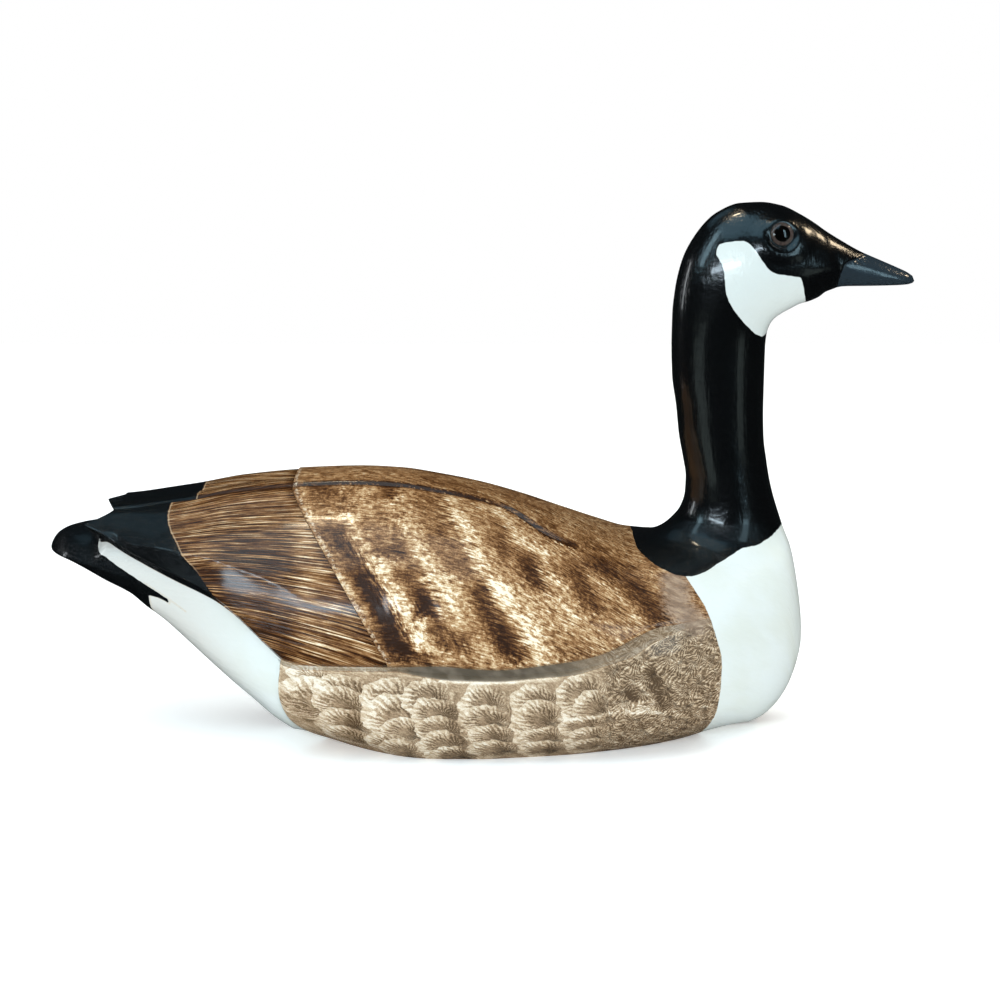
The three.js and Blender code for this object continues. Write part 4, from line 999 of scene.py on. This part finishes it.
swell = swell - BILL_STEP * fade(-1.0, 0.6, head_slate) * (1 - fade(2, BILL_STEP_END, head_slate))
swell = swell - NOSTRIL_DEPTH * (1 - fade(0.5, 1.1, nostril))
head_y = hy + swell * fade(0, 4, hy)
# the bed of the eye is flat, square to the way the eye looks
bed_y = EYE_CENTRE[1] - (SOCKET_DEPTH + (hx - EYE_CENTRE[0]) * EYE_AXIS[0] + (hz - EYE_CENTRE[2]) * EYE_AXIS[2]) / EYE_AXIS[1]
in_bed = (1 - fade(0.82, 1.25, from_eye / SOCKET_RADIUS)) * (hy > 5)
head_points[..., 1] = np.maximum(mix(head_y, bed_y, in_bed), 0)
CHEEK_PATCH = [(142.6, 293), (142.7, 296), (144.4, 299), (148.5, 300.3), (154, 301), (159, 301.3), (162.4, 299.3),
               (165.6, 295.5), (168.4, 291), (171.8, 286.2), (175, 283.2), (179.5, 281.7), (188.9, 280.4), (192.6, 279.8),
               (194, 277), (195.6, 271), (199, 262), (196, 256), (186, 250), (172, 243), (167, 245.4), (161.3, 250.8),
               (156.5, 256), (153, 260.6), (150, 265.5), (148.4, 270), (147.5, 276), (147.2, 281.6), (145.8, 287.4)]


def inside_patch(px, py, outline):
    """Distance to a closed outline, positive inside."""
    closed = outline + outline[:1]
    away = line_distance(px, py, closed)
    inside = np.zeros(np.shape(px), bool)
    for (x0, y0), (x1, y1) in zip(closed, closed[1:]):
        if y0 != y1:
            crosses = ((py >= y0) != (py >= y1)) & (px < x0 + (py - y0) * (x1 - x0) / (y1 - y0))
            inside ^= crosses
    return np.where(inside, away, -away)


head_white = inside_patch(hx, hz, CHEEK_PATCH)
head_vertices, head_faces = mirrored_loft(head_points, (seat_middle, 0, 130.2), BILL_END)
head = solid_piece("head_and_neck_carving", head_vertices, head_faces, 45)
lay_on(head, "white", mirrored_values(head_white, -9, -9))
lay_on(head, "slate", mirrored_values(head_slate, -9, 9))
lay_on(head, "height", mirrored_values(hz, 130, 275))

pot = PaintPot("head_paint")
where = pot.put("TexCoord").outputs["Object"]
waves = pot.noise(where, 55.0, 2.0, 0.5)
specks = pot.noise(where, 420.0, 2.0, 0.5)
wobble = pot.swing(pot.noise(where, 300.0), 0.4)
BILL_SLATE = linear(34, 44, 51)
colour = pot.blend(pot.ease(pot.math("ADD", pot.number("slate"), wobble), -0.4, 0.4), BLACK_PAINT, BILL_SLATE)
CHEEK_WHITE = linear(205, 210, 206)
colour = pot.blend(pot.ease(pot.math("ADD", pot.number("white"), wobble), -0.2, 0.2), colour, CHEEK_WHITE)
bristles = pot.noise(pot.put("Mapping", {"Vector": where, "Scale": (700, 700, 70)}).outputs[0], 1.0, 2.0, 0.5)
bump = pot.math("MULTIPLY_ADD", waves, 6.0, pot.math("MULTIPLY", pot.math("ADD", specks, bristles), 1.5))
head_paint = pot.finish(colour, bump, 0.22, 0.00012, **{"Coat Weight": 0.5, "Coat Roughness": 0.08})
head.data.materials.append(head_paint)
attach(head, "root")
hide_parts("head_and_neck")

# The eyes. A stock glass eye on each side of the head: a clear dome over a brown ring and a black
# pupil, bedded in its socket.
EYE_RADIUS, EYE_DOME, EYE_SEAT = 7.0, 3.0, 2.0
PUPIL_RADIUS, IRIS_RADIUS = 4.5, 6.75
EYE_SIDES = 64


def turned(profile, centre, axis):
    """Vertices and faces of a closed round solid: profile is (radius, height) along the axis, the
    first and the last point on the axis."""
    axis = axis / np.linalg.norm(axis)
    first = np.cross(axis, [0, 0, 1.0])
    first = first / np.linalg.norm(first)
    second = np.cross(axis, first)
    turns = np.arange(EYE_SIDES) * 2 * math.pi / EYE_SIDES
    ring = np.cos(turns)[:, None] * first + np.sin(turns)[:, None] * second
    vertices = [centre + axis * profile[0][1], centre + axis * profile[-1][1]]
    for radius, height in profile[1:-1]:
        vertices.extend(centre + axis * height + ring * radius)
    faces = []
    for j in range(EYE_SIDES):
        k = (j + 1) % EYE_SIDES
        faces.append((0, 2 + k, 2 + j))
        for level in range(len(profile) - 3):
            a, b = 2 + level * EYE_SIDES + j, 2 + level * EYE_SIDES + k
            faces.append((a, b, b + EYE_SIDES, a + EYE_SIDES))
        base = 2 + (len(profile) - 3) * EYE_SIDES
        faces.append((1, base + j, base + k))
    return np.array(vertices), faces


dome_turns = np.linspace(0, math.pi / 2, 16)[:-1]
glass_profile = [(0, -0.6), (EYE_RADIUS - 0.1, -0.6), (EYE_RADIUS, -0.3)]
glass_profile += [(EYE_RADIUS * math.cos(a), EYE_DOME * math.sin(a)) for a in dome_turns] + [(0, EYE_DOME)]
iris_profile = [(0, -EYE_SEAT), (IRIS_RADIUS, -EYE_SEAT), (IRIS_RADIUS, -0.25), (PUPIL_RADIUS, -0.3), (0, -0.3)]
pupil_profile = [(0, -1.3), (PUPIL_RADIUS, -1.3), (PUPIL_RADIUS, -0.2), (PUPIL_RADIUS - 0.3, -0.1), (0, -0.1)]

pot = PaintPot("clear_eye_glass")
shader = {"Transmission Weight": 1.0, "IOR": 1.5}
eye_glass = pot.finish((1, 1, 1, 1), None, 0.0, 0, **shader)
pot = PaintPot("iris_brown")
spokes = pot.noise(pot.put("TexCoord").outputs["Object"], 900.0, 2.0)
iris_brown = pot.finish(pot.ramp(spokes, [(0.3, linear(70, 59, 54)), (0.7, linear(98, 85, 79))]), None, 0.6, 0, **{"Specular IOR Level": 0.0})
pot = PaintPot("pupil_black")
pupil_black = pot.finish(linear(7, 6, 5), None, 0.6, 0, **{"Specular IOR Level": 0.0})
for side_name, side_sign in (("right", -1), ("left", 1)):
    flip = np.array([1, side_sign, 1])
    centre, axis = EYE_CENTRE * flip, EYE_AXIS * flip
    for label, profile, material in (("glass", glass_profile, eye_glass), ("iris", iris_profile, iris_brown),
                                     ("pupil", pupil_profile, pupil_black)):
        vertices, faces = turned(profile, centre, axis)
        part = solid_piece(f"eye_{label}_{side_name}", vertices, faces, 40)
        part.data.materials.append(material)
        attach(part, "root")
        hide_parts(f"eye_{side_name}")

# The stage: a plain pale floor, soft studio lights and the camera.
FLOOR_HALF_WIDTH, FLOOR_NEAR, FLOOR_FAR = 2.2, -1.2, 2.0
floor_mesh = bpy.data.meshes.new("floor")
floor_corners = [(-FLOOR_HALF_WIDTH, FLOOR_NEAR, 0), (FLOOR_HALF_WIDTH, FLOOR_NEAR, 0),
                 (FLOOR_HALF_WIDTH, FLOOR_FAR, 0), (-FLOOR_HALF_WIDTH, FLOOR_FAR, 0)]
floor_mesh.from_pydata(floor_corners, [], [(0, 1, 2, 3)])
floor = bpy.data.objects.new("floor", floor_mesh)
bpy.context.scene.collection.objects.link(floor)
pot = PaintPot("floor_white")
floor_mesh.materials.append(pot.finish(linear(246, 246, 245), None, 0.9, 0, **{"Emission Color": (1, 1, 1, 1),
                                                                             "Emission Strength": 0.3}))
floor.visible_glossy = False


def soft_light(name, place, aim, size, power, colour=(1, 1, 1)):
    lamp = bpy.data.lights.new(name, "AREA")
    lamp.shape = "RECTANGLE"
    lamp.size, lamp.size_y = size
    lamp.energy = power
    lamp.color = colour
    light = bpy.data.objects.new(name, lamp)
    light.location = place
    light.rotation_euler = (Vector(aim) - Vector(place)).to_track_quat("-Z", "Y").to_euler()
    bpy.context.scene.collection.objects.link(light)
    return light


ceiling = soft_light("ceiling", (0, 0.3, 2.5), (0, 0.3, 0), (4.0, 4.0), 42, (0.94, 0.97, 1.0))
ceiling.visible_glossy = False
soft_light("skylight", (-0.5, -0.95, 2.3), (-0.5, -0.95, 0), (1.8, 1.6), 13, (0.42, 0.78, 1.0))
soft_light("rear skylight", (-1.15, 1.15, 2.3), (-1.15, 1.15, 0), (1.3, 1.3), 2.4, (0.42, 0.78, 1.0))
soft_light("left window", (-1.72, -0.8, 1.7), (0.13, 0, 0.13), (0.4, 1.3), 8, (0.55, 0.85, 1.0))
soft_light("front left window", (-0.85, -1.86, 1.0), (0, 0, 0.2), (1.3, 0.2), 14, (0.72, 0.88, 1.0))
soft_light("right window", (1.5, -1.98, 1.25), (0.15, 0, 0.2), (0.5, 1.6), 10, (0.55, 0.85, 1.0))
soft_light("nape strip", (-2.1, 0.45, 0.65), (0.1, 0, 0.28), (0.12, 0.8), 3, (0.9, 0.96, 1.0))
soft_light("left low glow", (-1.4, -1.55, -0.4), (0.15, 0, 0.2), (0.9, 0.7), 1.0, (0.8, 1.0, 0.96))
soft_light("right low glow", (1.6, -1.35, -0.1), (0.15, 0, 0.2), (0.5, 0.5), 0.4, (0.8, 1.0, 0.96))
soft_light("bulb", (-0.29, -0.06, 2.0), (-0.29, -0.06, 0), (0.24, 0.07), 4, (1.0, 0.84, 0.6))
soft_light("warm lamp", (1.6, 0.35, 1.6), (0.2, 0, 0.3), (0.45, 0.18), 5, (1.0, 0.8, 0.55))

# the room: white behind the bird and as soft light all round, dark in the gloss of the paint
world = bpy.data.worlds.new("studio")
bpy.context.scene.world = world
world.use_nodes = True
room = world.node_tree
light_path = room.nodes.new("ShaderNodeLightPath")
gloss = room.nodes.new("ShaderNodeBackground")
gloss.inputs[0].default_value = (0.8, 0.92, 1.0, 1)
gloss.inputs[1].default_value = 0.014
soft = room.nodes["Background"]
soft.inputs[0].default_value = (1.0, 0.99, 0.97, 1)
soft.inputs[1].default_value = 0.62
behind = room.nodes.new("ShaderNodeBackground")
behind.inputs[1].default_value = 1.0
behind.inputs[0].default_value = (1, 1, 1, 1)
choose_soft = room.nodes.new("ShaderNodeMixShader")
choose_behind = room.nodes.new("ShaderNodeMixShader")
is_soft = room.nodes.new("ShaderNodeMath")
is_soft.operation = "MAXIMUM"
room.links.new(light_path.outputs["Is Diffuse Ray"], is_soft.inputs[0])
room.links.new(light_path.outputs["Is Transmission Ray"], is_soft.inputs[1])
room.links.new(is_soft.outputs[0], choose_soft.inputs[0])
room.links.new(gloss.outputs[0], choose_soft.inputs[1])
room.links.new(soft.outputs[0], choose_soft.inputs[2])
room.links.new(light_path.outputs["Is Camera Ray"], choose_behind.inputs[0])
room.links.new(choose_soft.outputs[0], choose_behind.inputs[1])
room.links.new(behind.outputs[0], choose_behind.inputs[2])
room.links.new(choose_behind.outputs[0], room.nodes["World Output"].inputs[0])
bpy.context.scene.view_settings.view_transform = "Standard"

# The camera looks at the middle of the bird from a little above its right side.
AIM = Vector((0.0135, 0, 0.14))
DISTANCE, ELEVATION = 1.3, math.radians(11)
SENSOR, LENS = 36, 75.5
camera_data = bpy.data.cameras.new("camera")
camera_data.sensor_width = SENSOR
camera_data.lens = LENS
camera = bpy.data.objects.new("camera", camera_data)
camera.location = AIM + DISTANCE * Vector((0, -math.cos(ELEVATION), math.sin(ELEVATION)))
camera.rotation_euler = (AIM - camera.location).to_track_quat("-Z", "Y").to_euler()
bpy.context.scene.collection.objects.link(camera)
bpy.context.scene.camera = camera

bpy.context.view_layer.update()
